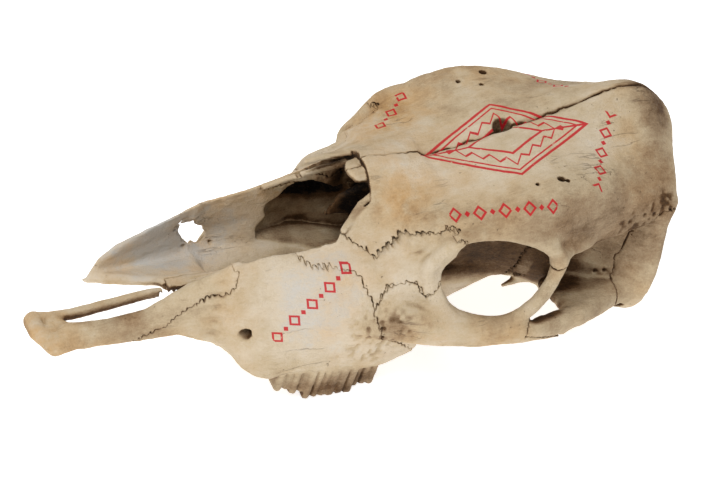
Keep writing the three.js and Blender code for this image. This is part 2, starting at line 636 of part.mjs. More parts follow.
const SPHENOID_SIDE = [
  [250, 20], [352, 20], [398, 48], [402, 131.4], [372, 122], [345, 118], [332, 124], [262, 130], [246, 90],
];
const SPHENOID_HALF = 31;
const ORBIT_WALL_SIDE = [[262, 62], [334, 40], [334, 96], [332, 124], [318, 120], [290, 130], [262, 130]];
const ORBIT_WALL_HALF = 61.6;
const PALATE_HALF = 36;
const PALATE_SIDE = [[206, 0], [266, 0], [266, 64], [206, 64]];
const VOMER_SIDE = [[92, 46], [250, 46], [250, 80], [160, 66], [92, 58]];
const VOMER_HALF = 5;
const MAXILLA_SIDE = [[40, -20], [268, -20], [268, 150], [40, 150]];
const OCCIPITAL_SIDE = [[340, 0], [460, 0], [460, 160], [340, 160]];

// The cut pieces, named, each taken from what is left of the skull
async function build() {
  const dense = mergeVertices(withRightSide(surfaceOf(skullField())), WELD);
  const spare = dense.attributes.position.count - SKULL_TRIANGLES / 2;
  let rest = largest(toSolid(await new SimplifyModifier().modify(dense, Math.round(spare))));
  const bones = [];
  const take = (name, colour, ...blocks) => {
    const region = blocks.map((block) => sideBlock(...block)).reduce((a, b) => a.add(b));
    const piece = rest.intersect(region);
    if (piece.isEmpty()) throw new Error(`no bone left for ${name}`);
    bones.push({ name, colour, solid: largest(piece) });
    for (const block of blocks) rest = rest.subtract(sideBlock(...block, SUTURE_GAP));
  };
  const half = SUTURE_GAP / 2;
  const pair = (name, colour, outline, inner, outer) => {
    take(`${name}_left`, colour, [outline, -outer, -inner]);
    take(`${name}_right`, colour, [outline, inner, outer]);
  };
  take('premaxilla_left', CREAM, [PREMAXILLA_SIDE, -OUTER_HALF, PREMAXILLA_INNER_Y]);
  take('vomer', TAN, [VOMER_SIDE, -VOMER_HALF, VOMER_HALF]);
  pair('frontal', CREAM, FRONTAL_SIDE, half, OUTER_HALF);
  pair('lacrimal', PALE, LACRIMAL_SIDE, LACRIMAL_INNER_HALF, OUTER_HALF);
  pair('zygomatic', CREAM, ZYGOMATIC_SIDE, ZYGOMATIC_INNER_HALF, OUTER_HALF);
  pair('palatine', TAN, PALATE_SIDE, half, PALATE_HALF);
  take('sphenoid', TAN, [SPHENOID_SIDE, -SPHENOID_HALF, SPHENOID_HALF],
    [ORBIT_WALL_SIDE, -ORBIT_WALL_HALF, ORBIT_WALL_HALF]);
  pair('temporal', CREAM, TEMPORAL_SIDE, SPHENOID_HALF + SUTURE_GAP, OUTER_HALF);
  pair('maxilla', IVORY, MAXILLA_SIDE, half, OUTER_HALF);
  take('occipital', PALE, [OCCIPITAL_SIDE, -OUTER_HALF, OUTER_HALF]);
  return bones;
}

const whole = new THREE.Group();
whole.name = 'cow_skull';

// Tip the skull to its rest pose, trim the small flats it stands on and centre it on the floor
const bones = await build();
const tipped = bones.map((bone) => ({ ...bone, solid: bone.solid.rotate([0, REST_TILT_DEG, 0]) }));
const boxes = tipped.map(({ solid }) => solid.boundingBox());
const low = [0, 1, 2].map((axis) => Math.min(...boxes.map((box) => box.min[axis])));
const high = [0, 1, 2].map((axis) => Math.max(...boxes.map((box) => box.max[axis])));
const floorZ = low[2] + FLOOR_TRIM;
const centre = [(low[0] + high[0]) / 2, (low[1] + high[1]) / 2];
const ground = new THREE.BoxGeometry(FAR * 4, FAR * 4, FAR);
ground.translate(0, 0, floorZ - FAR / 2);
const groundSolid = toSolid(ground);
for (const { name, colour, solid } of tipped) {
  const standing = largest(solid.subtract(groundSolid)).translate([-centre[0], -centre[1], -floorZ]);
  const material = new THREE.MeshStandardMaterial({ color: colour, roughness: 0.75, metalness: 0 });
  const apart = withoutTouchingPoints(toGeometry(standing), TOUCH_SHIFT);
  const shape = withoutShortEdges(apart, SHORTEST_EDGE);
  const mesh = new THREE.Mesh(shape, material);
  mesh.name = name;
  whole.add(mesh);
}

export default whole;
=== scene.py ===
import math

import bpy
import numpy as np
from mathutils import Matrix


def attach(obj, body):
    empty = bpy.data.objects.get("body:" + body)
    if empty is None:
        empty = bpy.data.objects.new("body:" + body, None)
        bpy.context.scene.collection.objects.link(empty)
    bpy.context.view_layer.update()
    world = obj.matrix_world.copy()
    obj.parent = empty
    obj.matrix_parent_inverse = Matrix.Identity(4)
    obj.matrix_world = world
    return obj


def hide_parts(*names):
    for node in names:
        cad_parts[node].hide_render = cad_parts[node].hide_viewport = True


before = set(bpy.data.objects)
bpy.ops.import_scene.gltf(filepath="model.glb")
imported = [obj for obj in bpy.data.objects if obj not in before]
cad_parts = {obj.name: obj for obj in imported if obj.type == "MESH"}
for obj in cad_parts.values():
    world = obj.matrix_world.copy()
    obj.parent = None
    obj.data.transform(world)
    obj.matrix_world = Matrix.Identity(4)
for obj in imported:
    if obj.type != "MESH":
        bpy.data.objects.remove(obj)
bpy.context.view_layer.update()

import openvdb
from mathutils import Matrix, Vector

# Sizes are in millimetres in the skull's own frame until a mesh is made: +X from the muzzle to the poll,
# the animal's left is -Y, +Z is up and the tooth row ends near Z 0
MM = 0.001
VOXEL = 1.05
COARSE_STEP = 2.4
FIELD_LOW = (-10.0, -120.0, -10.0)
FIELD_HIGH = (450.0, 120.0, 212.0)
FAR = 260.0
BLEND = 6.0
OUTSIDE = 3.0
SUTURE_GAP = 0.15
ZIGZAG = 3.4

# Rest pose: the tip about Y, and the point of the tipped skull that lies over the floor's centre
REST_TILT = math.radians(8.3)
REST_POINT = (232.62, -0.05, -35.14)

# Camera, in the skull's own frame and in millimetres
CAMERA_LOOK = (220.0, 0.0, 100.0)
CAMERA_AZIMUTH = math.radians(-34.588)
CAMERA_ELEVATION = math.radians(37.376)
CAMERA_ROLL = math.radians(18.521)
CAMERA_DISTANCE = 1077.92
CAMERA_OFFSET = (2.30, -17.95)
CAMERA_FOCAL_PX = 1579.67
PICTURE_WIDTH = 720
SENSOR_MM = 36.0
CAMERA_CLIP_END = 20.0

# Lights and floor, in metres: place, size and power of each lamp
LIT_POINT = (0, 0, 0.08)
KEY_LIGHT = ((-0.5, -0.35, 1.5), LIT_POINT, 0.7, 12)
FILL_LIGHT = ((-1.4, -1.2, 0.7), LIT_POINT, 1.2, 2.2)
SKY_STRENGTH = 0.56
FLOOR_HALF = 3.0
FLOOR_GREY = 0.9
FLOOR_ROUGHNESS = 0.9
FLOOR_GLOW = 0.7

# Long lines of the skull, each as [distance from the muzzle tip, half width, height]
FACE_LINES = [
    [[118, -6, 38], [160, -6, 38], [200, -6, 40], [232, -6, 46], [252, -6, 62]],
    [[118, 28, 32], [160, 38, 29], [200, 42, 28], [232, 42, 30], [252, 28, 48]],
    [[118, 37, 29], [130, 42, 23], [146, 47, 19], [165, 46, 20], [200, 48, 20], [232, 44, 22],
     [252, 38, 36]],
    [[118, 42, 30], [127, 47, 24], [135, 57, 18], [146, 66, 17], [165, 66, 19], [200, 68, 19],
     [232, 66, 18],
     [252, 63, 26]],
    [[118, 46, 46], [148, 64, 46], [200, 72, 44], [232, 74, 41], [252, 74, 44]],
    [[118, 45, 58], [148, 58, 62], [200, 77, 70], [232, 79, 76], [252, 82, 80]],
    [[118, 41, 74], [148, 48, 82], [180, 58, 98], [200, 61, 102], [232, 76, 105], [252, 85, 106]],
    [[118, 38, 89], [137, 38, 97], [162, 38, 100], [180, 40, 104], [202, 42, 114], [232, 57, 127],
     [252, 73, 133]],
    [[118, 30, 92], [137, 31, 98], [162, 31, 101], [180, 31, 109], [200, 22, 134], [232, 28, 143],
     [252, 30, 146]],
    [[118, -6, 92], [137, -6, 98], [162, -6, 101], [180, -6, 113], [200, -6, 140], [232, -6, 144],
     [252, -6, 145]],
]
CRANIUM_LINES = [
    [[226, -6, 62], [300, -6, 56], [345, -6, 52], [375, -6, 48], [446, -6, 50]],
    [[226, 20, 60], [300, 20, 58], [345, 24, 54], [375, 28, 47], [436, 34, 48]],
    [[226, 30, 76], [300, 28, 74], [345, 42, 68], [375, 52, 60], [395, 58, 54], [420, 68, 53],
     [440, 68, 53]],
    [[226, 35, 95], [300, 34, 94], [345, 48, 90], [375, 54, 84], [395, 64, 78], [420, 81, 72],
     [436, 81, 72]],
    [[226, 38, 112], [300, 38, 112], [345, 48, 106], [375, 52, 102], [395, 59, 102], [420, 81, 100],
     [436, 81, 100]],
    [[226, 46, 122], [280, 44, 132], [312, 50, 128], [345, 56, 115], [375, 57, 116], [395, 61, 122],
     [420, 73, 132]],
    [[226, 64, 120], [250, 68, 128], [280, 74, 136], [312, 84, 137], [345, 79, 124], [372, 73, 127],
     [390, 71, 131],
     [408, 70, 139], [420, 70, 151]],
    [[226, 60, 128], [250, 66, 138], [280, 74, 155], [312, 76, 167], [343, 70, 168], [361, 69, 164],
     [389, 66, 159],
     [413, 64, 158], [436, 60, 157]],
    [[226, 44, 137], [250, 50, 143], [280, 52, 155], [312, 50, 170], [345, 45, 175], [395, 40, 175],
     [420, 40, 175],
     [436, 40, 169]],
    [[226, -6, 144], [250, -6, 144.5], [280, -6, 151], [312, -6, 162], [345, -6, 173], [408, -6, 198],
     [444, -6, 180]],
]
NASAL_CAVITY_LINES = [
    [[30, -6, 48], [100, -6, 48], [160, -6, 52], [240, -6, 62]],
    [[30, 24, 46], [100, 30, 46], [118, 35, 45], [140, 30, 46], [166, 25, 49], [240, 22, 64]],
    [[30, 30, 60], [100, 36, 56], [118, 41, 57], [140, 38, 59], [166, 32, 62], [240, 30, 84]],
    [[30, 32, 150], [100, 31, 82], [118, 34, 84], [150, 34, 95], [166, 34, 100], [190, 34, 110],
     [202, 30, 118],
     [240, 30, 118]],
    [[30, 32, 220], [165, 30, 220], [192, 29, 195], [204, 21, 165], [214, 13, 134], [240, 20, 132]],
    [[30, -6, 220], [165, -6, 220], [192, -6, 195], [204, -6, 148], [212, -6, 136], [240, -6, 136]],
]
SECTION_STEPS = 4
WEB_ROWS = 5
PLATE_ROWS = 12
WEB_BLEND = 3.0
NASAL_BLEND = 1.6
FINE_BLEND = 0.8
TIP_BLEND = 2.0
SMALL_HOLE_BLEND = 0.6
SCROLL_BLEND = 3.0
NECK_CANAL_BLEND = 3.0
RECESS_RAGGED = 1.5
SINUS_RAGGED = 1.2
HOLE_RAGGED = 2.4
RIM_NOISE = ((1.7, 6.0, 21), (1.0, 2.6, 22))
RIM_FROM_Z = 88
RIM_OVER_Z = 20

# Left premaxilla: front plate, inner bar beside the palate slit and the outer bar up to the maxilla
PREMAXILLA_INNER = [[6, 4, 31, 3.5], [28, 6, 34, 4], [56, 6, 41, 3.6], [80, 6, 47, 3.4], [104, 8, 47, 4]]
PREMAXILLA_FRONT = [
    [2, 6, 31, 5.5], [3, 17, 32, 6], [11, 30, 31, 6], [22, 22, 33, 5.5], [14, 12, 33, 5.5],
    [10, 20, 32, 5],
]
PREMAXILLA_EDGE = [[12, 31, 31, 4], [40, 32, 34.5, 4], [60, 32, 35, 4], [90, 33, 39, 4], [118, 41, 36, 5]]
PREMAXILLA_BAR = [
    [20, 24, 38, 4], [40, 25, 40, 3.8], [56, 25, 42, 3.6], [72, 26, 48, 3.6], [86, 27, 60, 3.6],
    [98, 28, 71, 3.6],
    [110, 32, 85, 3.6], [122, 34, 89, 3.6],
]

# Front of the right maxilla: thin plates with a broken edge
RIGHT_PLATE_LOW = [[48, 29, 34, 2.4], [80, 33, 34, 3], [120, 40, 35, 4.5]]
RIGHT_PLATE_MID = [[50, 30, 42, 2.2], [80, 35, 49, 2.2], [118, 42, 58, 2.4]]
RIGHT_PLATE_HIGH = [[52, 29, 48, 2.2], [81, 31, 71, 2.2], [118, 35, 90, 2.6]]
RIGHT_PALATE = [[58, 18, 40, 2.2], [84, 7, 45, 2.4], [120, 6, 46, 3.6]]
RIGHT_LIP = [[163, 31, 102, 1.8], [178, 28, 111, 2], [196, 22, 123, 2.4], [212, 16, 133, 3]]
RIGHT_HOLE = [[113, 29, 68, 8.3], [135, 60, 39, 8.3]]
RIGHT_RECESS = ([208, 34, 58], [42, 15, 44])
RECESS_FLOOR = 54.0
SINUS_HOLE = ([202, 42, 90], [25, 11, 8])
FRONTAL_TONGUE = [[191, 35, 117, 2.2], [197, 30, 123, 2.4], [204, 25, 130, 2.6], [214, 21, 134, 3]]
FRONTAL_TIP = (
    [[203, 1, 138.5, 1.6], [209, 1, 140, 1.8], [218, 1, 142, 2.4]],
    [[207, 9, 137.5, 1.6], [212, 10, 138.5, 1.8], [219, 11, 140, 2.4]],
)
FRONTAL_SLIVER = (
    [[178, 14, 136, 1.2], [194, 16, 138, 1.4], [220, 16, 140, 2.4]],
    [[184, 21, 133, 1.2], [198, 25, 132, 1.4], [222, 27, 135, 2.4]],
)

# Broken upper edge of the right side, [x, z] at 30 mm from the middle, and its slant over y
RIGHT_EDGE = [
    [48, 31], [53.7, 47.7], [63, 58.5], [81, 70], [99, 80], [117, 92], [149.5, 101], [161, 105.5],
    [175, 111.5],
    [187, 118], [198, 123.4], [215, 132], [240, 132],
]
EDGE_Y = 30.0
EDGE_X_PER_Y = 0.5
EDGE_Z_PER_Y = 0.87
EDGE_FROM_Y = 8.0
EDGE_TO_X = 206.0
EDGE_SLOPE = 0.7
EDGE_BLEND = 1.5

# The right side is a little narrower before the eye and wider beside it
RIGHT_NARROW = (0.08, 232.0, 18.0)
RIGHT_WIDE = (0.05, 276.0, 20.0)

# Eye socket: a closed rim, [x, half width, z, radius], and the hollow behind it
ORBIT_RIM = [
    [236, 76, 112, 5], [245, 74, 128, 5], [259, 75, 141, 4.5], [288, 78, 143, 4.5], [314, 86, 138, 5],
    [327, 88, 125, 5.5], [325, 92, 109, 4.8], [315, 96, 94, 4.8], [298, 96, 79, 5.5], [274, 90, 75, 6.5],
    [252, 82, 86, 6],
]
ORBIT_HOLLOW = ([283, 82, 109], [38, 44, 30])
ORBIT_PIT = ([268, 56, 104], [22, 26, 26])

# Cheek arch, the plate behind the eye and the shelf from the arch's root to the braincase
BAR_FLANGE = [[328, 87, 127, 5], [340, 80, 128, 5], [356, 74, 128, 4.5]]
ARCH_TOP = [[224, 80, 84, 7], [262, 90, 74, 7], [292, 98, 74, 6.5], [322, 103, 78, 5], [352, 97, 80, 4]]
ARCH_BOTTOM = [[214, 76, 66, 8], [245, 84, 63, 7], [274, 93, 65, 6], [300, 100, 70, 5], [340, 101, 70, 3.5]]
ARCH_REAR = [[326, 99, 76, 5], [340, 98, 79, 6], [356, 95, 78, 6], [374, 86, 75, 6.5], [394, 74, 72, 8]]
SHELF_INNER = [[352, 58, 74, 5], [372, 54, 72, 6], [398, 58, 70, 8]]
ARCH_SLIT = [[305, 108, 80.5, 0.9], [314, 110, 79.5, 1.3], [331, 111, 77, 1.5]]
EAR_REGION = [[392, 72, 72, 8], [408, 70, 72, 12]]
EAR_HOLE = ([403, 80, 65], [9, 12, 5])
EAR_SPUR = [[374, 30, 60, 6], [360, 27, 53, 4], [345, 25, 43.5, 1.6]]

# Neck joint, neck processes and the plates below the braincase
CONDYLE = ([425, 26, 66], [15, 15, 20])
NECK_PROCESS = [[410, 56, 66, 12], [410, 52, 46, 8], [409, 49, 28.6, 5.5]]
EAR_BULB = ([380, 40, 50], [13, 9, 12])
PTERYGOID_TOP = [[254, 28, 66, 5], [300, 28, 66, 4], [340, 28, 72, 4]]
PTERYGOID_HOOK = [[276, 27, 50, 3.4], [286, 25, 40, 3], [290, 26, 33, 2.4]]
PTERYGOID_EDGE = [
    [254, 27, 52, 4], [276, 26, 42, 3.4], [292, 26, 39, 3], [302, 26, 45, 3], [328, 27, 66, 3.4],
]
NECK_CANAL = [[386, 0, 88, 15], [450, 0, 80, 15]]
NECK_X = 428.0
POLL_BULGE = 16.0
POLL_HALF = 65.0
POLL_FROM = 130.0
POLL_TO = 180.0
NECK_ROUND = 10.0
SHOT_HOLE = [[320, 1, 140, 6.5], [308, 3, 190, 6.5]]
BROW_HOLE = [[330, 58, 150, 2.6], [322, 62, 190, 2.6]]
SMALL_HOLES = [
    (-1, [[309, 58, 164, 1.5], [308, 62, 175, 1.5]]), (-1, [[330, 61, 168, 1.5], [328, 65, 178, 1.5]]),
    (1, [[306, 56, 162, 1.7], [305, 58, 174, 1.7]]), (1, [[319, 47, 166, 1.7], [318, 48, 178, 1.7]]),
    (1, [[116, 30, 48, 1.6], [116, 46, 48, 1.6]]), (1, [[136, 30, 49, 1.4], [136, 42, 49, 1.4]]),
    (1, [[107, 30, 64, 1.4], [107, 43, 64, 1.4]]), (-1, [[390, 50, 84, 1.3], [389, 66, 84.5, 1.3]]),
    (-1, [[396, 50, 86, 1.3], [395, 66, 86.5, 1.3]]),
]
CHEEK_HOLE = [[145, 42, 56, 4], [120, 60, 42, 4]]
CHOANA = ([282, 0, 58], [40, 15, 15])
MUZZLE_RIDGE = [[94, 2, 46, 2.4], [130, 0, 51, 3.2], [160, 0, 54, 3.4], [232, 0, 66, 4]]
SCROLL_LOW = [[208, 21, 84, 1.5], [220, 21, 88, 3], [240, 18, 90, 7]]
SCROLL_HIGH = [[214, 18, 102, 1.5], [224, 17, 108, 3], [240, 16, 116, 7]]

# Cheek teeth of one side, front to back: [x, half width, length, width, height of the front and rear end]
TOOTH_ROW = [
    [164, 57, 12, 13, 1, 0], [175, 58, 12, 15, -1.5, -2], [188, 59, 17, 17, -4.5, -4],
    [206, 59, 20, 18, -4.8, -5], [225, 56, 18, 17, -3.4, -1.9],
]
TOOTH_ROOT_Z = 34.0
TOOTH_COLUMN_ROUND = 2.4
TOOTH_PRONG = 6.0
TOOTH_UNEVEN = 1.7
TOOTH_CUSP_SLOPE = 0.35
TOOTH_LEAN = 0.06
TOOTH_GAP = 0.1
TOOTH_WAVE = 2.3
TOOTH_BLEND = 0.6
CUSP_FLAT = 2

# Side outlines of the bones, [x, z], in the order in which they are parted
OUTER_HALF = 130.0
LACRIMAL_INNER = 20.0
PREMAXILLA_SIDE = [
    [-20, 0], [58, 22], [62, 34], [81, 45], [93, 54.6], [106, 68], [114, 70], [121.5, 80], [121, 90],
    [112, 98],
    [112, 110], [-20, 110],
]
FRONTAL_SIDE = [
    [160, 112], [190, 116], [196, 113], [208, 109.5], [221, 120], [227, 130], [245, 136.5], [254, 141],
    [262, 130],
    [290, 130], [318, 120], [332, 124], [345, 118], [372, 122], [390, 127], [408, 134], [418, 146],
    [455, 150],
    [455, FAR], [160, FAR],
]
LACRIMAL_SIDE = [
    [154, 104], [162, 99.5], [169, 98], [187, 101], [196.6, 100.6], [207.4, 83], [214.4, 97], [225, 103],
    [231, 103.7], [237, 96.4], [242, 103], [262, 130], [254, 141], [245, 136.5], [227, 130], [221, 120],
    [208, 109.5], [196, 113], [190, 116], [160, 112], [152, 125],
]
ZYGOMATIC_SIDE = [
    [207.4, 83], [215, 60], [252, 36], [346, 52], [344, 68], [308, 75.5], [311, 84], [322, 90],
    [340, 100],
    [332, 124], [318, 120], [290, 130], [262, 130], [242, 103], [237, 96.4], [231, 103.7], [225, 103],
    [214.4, 97],
]
TEMPORAL_SIDE = [
    [346, 10], [352, 48], [398, 48], [402, 131.4], [390, 127], [372, 122], [345, 118], [332, 124],
    [340, 100],
    [322, 90], [311, 84], [308, 75.5], [344, 68], [346, 52],
]
SPHENOID_SIDE = [
    [250, 20], [352, 20], [398, 48], [402, 131.4], [372, 122], [345, 118], [332, 124], [262, 130],
    [246, 90],
]
SPHENOID_HALF = 31.0
ORBIT_WALL_SIDE = [[262, 62], [334, 40], [334, 96], [332, 124], [318, 120], [290, 130], [262, 130]]
ORBIT_WALL_HALF = 62.0
PALATE_HALF = 36.0
PALATE_SIDE = [[206, 0], [266, 0], [266, 48], [206, 48]]
VOMER_SIDE = [[92, 46], [250, 46], [250, 80], [160, 66], [92, 58]]
VOMER_HALF = 5.0
MAXILLA_SIDE = [[40, -20], [268, -20], [268, 150], [40, 150]]
OCCIPITAL_SIDE = [[340, 0], [460, 0], [460, 160], [340, 160]]


def pair(name, outline, inner, outer=OUTER_HALF):
    return (name + "_left", outline, -outer, -inner), (name + "_right", outline, inner, outer)


ALL_BONES = [
    ("premaxilla_left", PREMAXILLA_SIDE, -OUTER_HALF, 1.0),
    ("vomer", VOMER_SIDE, -VOMER_HALF, VOMER_HALF),
    *pair("frontal", FRONTAL_SIDE, 0.0),
    *pair("lacrimal", LACRIMAL_SIDE, LACRIMAL_INNER),
    *pair("zygomatic", ZYGOMATIC_SIDE, ORBIT_WALL_HALF),
    *pair("palatine", PALATE_SIDE, 0.0, PALATE_HALF),
    ("sphenoid", SPHENOID_SIDE, -SPHENOID_HALF, SPHENOID_HALF, ORBIT_WALL_SIDE, ORBIT_WALL_HALF),
    *pair("temporal", TEMPORAL_SIDE, SPHENOID_HALF),
    *pair("maxilla", MAXILLA_SIDE, 0.0),
    ("occipital", OCCIPITAL_SIDE, -OUTER_HALF, OUTER_HALF),
]

# Where the bone is drawn darker or lighter than its mean: [x, y, z, reach along x, y and z, amount]. The
# zones hold stains and also painted light and shade: the lighter inner face of the right plate and the
# darker rear of the left side
STAIN_AND_LIGHT_ZONES = [
    [175, -62, 66, 44, 40, 36, -0.30], [150, -62, 35, 40, 30, 18, -0.06],
    [215, -70, 60, 22, 30, 20, 0.04],
    [222, -60, 100, 20, 22, 18, -0.14], [10, -20, 31, 26, 30, 20, 0.06], [66, -28, 44, 30, 20, 18, 0.26],
    [225, -28, 136, 18, 26, 18, 0.12], [246, -20, 148, 26, 20, 14, -0.14],
    [246, -50, 143, 22, 18, 12, 0.14],
    [275, -68, 150, 30, 16, 16, 0.12], [315, -78, 155, 34, 18, 26, 0.18],
    [360, -72, 140, 40, 22, 34, 0.24],
    [405, -66, 120, 36, 26, 46, 0.30], [412, -45, 170, 30, 30, 26, 0.20], [428, 0, 195, 20, 60, 14, 0.36],
    [395, 45, 175, 30, 30, 30, 0.14], [300, 68, 160, 50, 24, 30, 0.16], [330, 25, 170, 34, 24, 20, 0.10],
    [250, 50, 142, 26, 26, 18, 0.08], [290, -95, 78, 50, 26, 20, 0.12], [330, -92, 105, 16, 20, 30, 0.12],
    [365, -95, 76, 40, 22, 18, 0.12], [205, 15, 140, 26, 14, 14, 0.14],
    [96, 34, 52, 50, 20, 40, -0.46], [100, -33, 60, 30, 14, 30, 0.05],
    [400, -35, 182, 24, 26, 20, 0.03], [416, -20, 190, 16, 24, 14, 0.14],
    [212, -80, 64, 16, 26, 16, 0.26], [222, -86, 78, 14, 20, 12, 0.10],
    [205, -60, 2, 60, 30, 18, 0.46], [155, -62, 48, 34, 20, 24, 0.16],
]
BASE_TONE = 0.33

# Golden bone: [x, y, z, reach along x, y and z, amount]
WARM_ZONES = [
    [228, -28, 138, 24, 26, 18, 0.8], [250, 52, 145, 34, 26, 18, 0.8], [170, 38, 92, 50, 16, 16, 0.8],
    [10, -20, 31, 30, 30, 20, 0.5], [405, -50, 160, 30, 30, 30, 0.3], [290, -95, 74, 50, 26, 14, 0.4],
    [280, -66, 150, 40, 18, 16, 0.4], [120, 40, 34, 50, 12, 10, 0.5], [208, -45, 108, 14, 14, 12, 0.3],
    [330, 60, 165, 40, 20, 20, 0.3],
]

# Pitted bone on both sides: [x, half width, z, reach, depth]
PIT_ZONES = [
    [212, 82, 66, 17, 1.0], [222, 86, 76, 13, 0.9], [390, 71, 137, 9, 1.1], [406, 70, 144, 8, 1.1],
    [418, 68, 153, 8, 1.0], [214, 72, 44, 18, 0.8],
]
# Pits are drawn darker by their depth: brown dirt and painted shade
PIT_DIRT_AND_SHADE = 0.26
# Painted shade in the sinus hole of the right side
SINUS_SHADE = 0.6
SHADED_TONE = 0.86
SEAM_TONE = 0.30
SEAM_HALF = 1.0
SEAM_X = (225, 60)
SEAM_Z = (130, 10)
TONE_NOISE = ((0.08, 26.0, 31), (0.06, 11.0, 32), (0.04, 4.0, 33))
STREAK = 0.4
PIT_SIZE = 2.8
PIT_GAIN = 1.9

# Shade of closed in places: reach, first share that counts, span and amount
NEAR_SHADE = (7.0, 0.25, 0.6, 0.22)
FAR_SHADE = (24.0, 0.35, 0.6, 0.38)

# Painted shade at the back of the nose, the bared right wall before it where the painted shade of hollows
# is left off, and painted shade in the eye sockets and sinus, as start or end and span
NOSE_WALL = (0.4, 1.4)
NOSE_X = (188, 30)
NOSE_Z = (54, 25)
NOSE_TOP_Z = (126, 8)
NOSE_SHADE = 0.68
WALL_Y = (4, 6)
WALL_X = (185, 30, 0.75)
SOCKET_Y = (78, 8)
SOCKET_TOP = (136, 10)
SOCKET_FRONT = (240, 12)
SOCKET_REAR = (384, 24)
SOCKET_BOTTOM = (54, 12)
SOCKET_SHADE = 0.5
SINUS_AT = (200, 48, 88)
SINUS_REACH = (30, 11, 12)

BAND_HALF = 4.6

# Painted marks: kind, middle, a point along the mark, the way its face looks, half length and half width
MARKS = [
    ("figure", (308, -12, 170), (352, -18, 182), (-0.24, -0.3, 1), 60, 36),
    ("band", (283, -69, 156), (316, -78, 165), (-0.2, -0.75, 0.7), 36, BAND_HALF),
    ("band", (368, -40, 177), (383, -16, 192), (-0.1, -0.45, 0.9), 32, BAND_HALF),
    ("band", (366, 44, 174), (374, 14, 191), (-0.1, 0.5, 0.9), 28, BAND_HALF),
    ("band", (256, 52, 146), (238, 38, 141), (-0.3, 0.35, 0.9), 20, BAND_HALF),
    ("band", (168, -60, 78), (188, -54, 102), (-0.2, -1, 0.5), 36, BAND_HALF),
]
MARK_MARGIN = 6.0
MARK_REACH = 24.0
PAINTED = ("frontal_left", "frontal_right", "maxilla_left", "lacrimal_left")


# Smooth union and cut of two signed distances
def join(a, b, blend):
    h = np.maximum(blend - np.abs(a - b), 0) / blend
    return np.minimum(a, b) - h * h * (blend * 0.25)


def cut(a, hole, blend):
    return -join(-a, hole, blend)


# Share from 0 to 1 over a span, upward from a start or downward to an end
def rise(value, start, span):
    return np.clip((value - start) / span, 0, 1)


def fall(value, end, span, most=1):
    return np.clip((end - value) / span, 0, most)


# Smooth value of one column of a knotted line at x
def along_line(line, x, column):
    last = len(line) - 1
    if x <= line[0][0]:
        return line[0][column]
    if x >= line[last][0]:
        return line[last][column]
    i = next(k for k in range(last) if x <= line[k + 1][0])

    def slope(a, b):
        return (line[b][column] - line[a][column]) / (line[b][0] - line[a][0])

    step = line[i + 1][0] - line[i][0]
    here = slope(i, i + 1)
    before = (slope(i - 1, i) + here) / 2 if i > 0 else here
    after = (here + slope(i + 1, i + 2)) / 2 if i + 1 < last else here
    t = (x - line[i][0]) / step
    a, b = line[i][column], line[i + 1][column]
    rise = t * t * (3 - 2 * t)
    return a + (b - a) * rise + step * t * (1 - t) * ((1 - t) * before - t * after)


# Closed smooth curve through the corners of a section
def smooth_loop(corners, steps):
    points = []
    count = len(corners)
    for i in range(count):
        p0, p1, p2, p3 = (np.array(corners[(i + k) % count], float) for k in (-1, 0, 1, 2))
        for s in range(steps):
            t = s / steps
            points.append(0.5 * (2 * p1 + (p2 - p0) * t + (2 * p0 - 5 * p1 + 4 * p2 - p3) * t * t
                                 + (3 * p1 - p0 - 3 * p2 + p3) * t ** 3))
    return np.array(points, np.float32)


# Signed distance from points (u, v) to a closed polygon
def polygon_distance(points, u, v):
    shape = np.broadcast(u, v).shape
    nearest = np.full(shape, 1e9, np.float32)
    inside = np.zeros(shape, bool)
    for (au, av), (bu, bv) in zip(np.roll(points, 1, axis=0), points):
        eu, ev = bu - au, bv - av
        t = np.clip(((u - au) * eu + (v - av) * ev) / (eu * eu + ev * ev + 1e-9), 0, 1)
        nearest = np.minimum(nearest, (u - au - eu * t) ** 2 + (v - av - ev * t) ** 2)
        if ev != 0:
            inside ^= ((av > v) != (bv > v)) & (u < au + (v - av) * (eu / ev))
    return np.where(inside, -1, 1).astype(np.float32) * np.sqrt(nearest)


NOISE_PRIMES = (73856093, 19349663, 83492791)


# Repeatable smooth noise at any points, from -1 to 1
def noise(x, y, z, size, seed):
    cells = [np.floor(np.asarray(a, np.float32) / size).astype(np.int64) for a in (x, y, z)]
    parts = [np.asarray(a, np.float32) / size - c for a, c in zip((x, y, z), cells)]
    ease = [p * p * (3 - 2 * p) for p in parts]
    total = 0
    for corner in range(8):
        bits = [(corner >> k) & 1 for k in range(3)]
        h = 0
        for cell, bit, prime in zip(cells, bits, NOISE_PRIMES):
            h = h ^ ((cell + bit) * prime)
        h = (h ^ (seed * 2654435761)) & 0xFFFFFFFF
        h = ((h ^ (h >> 15)) * 2246822519) & 0xFFFFFFFF
        h = ((h ^ (h >> 13)) * 3266489917) & 0xFFFFFFFF
        value = ((h ^ (h >> 16)) & 0xFFFF) / 32767.5 - 1
        weight = 1
        for k in range(3):
            weight = weight * (ease[k] if bits[k] else 1 - ease[k])
        total = total + value * weight
    return np.asarray(total, np.float32)


def rod_distance(x, y, z, a, b):
    ex, ey, ez = b[0] - a[0], b[1] - a[1], b[2] - a[2]
    along = ((x - a[0]) * ex + (y - a[1]) * ey + (z - a[2]) * ez) / (ex * ex + ey * ey + ez * ez)
    t = np.clip(along, 0, 1)
    d2 = (x - a[0] - ex * t) ** 2 + (y - a[1] - ey * t) ** 2 + (z - a[2] - ez * t) ** 2
    return np.sqrt(d2) - a[3] - (b[3] - a[3]) * t


def chain_distance(x, y, z, pairs):
    nearest = rod_distance(x, y, z, *pairs[0])
    for a, b in pairs[1:]:
        nearest = np.minimum(nearest, rod_distance(x, y, z, a, b))
    return nearest


def chain_pairs(points, closed=False):
    reach = len(points) if closed else len(points) - 1
    return [(points[i], points[(i + 1) % len(points)]) for i in range(reach)]


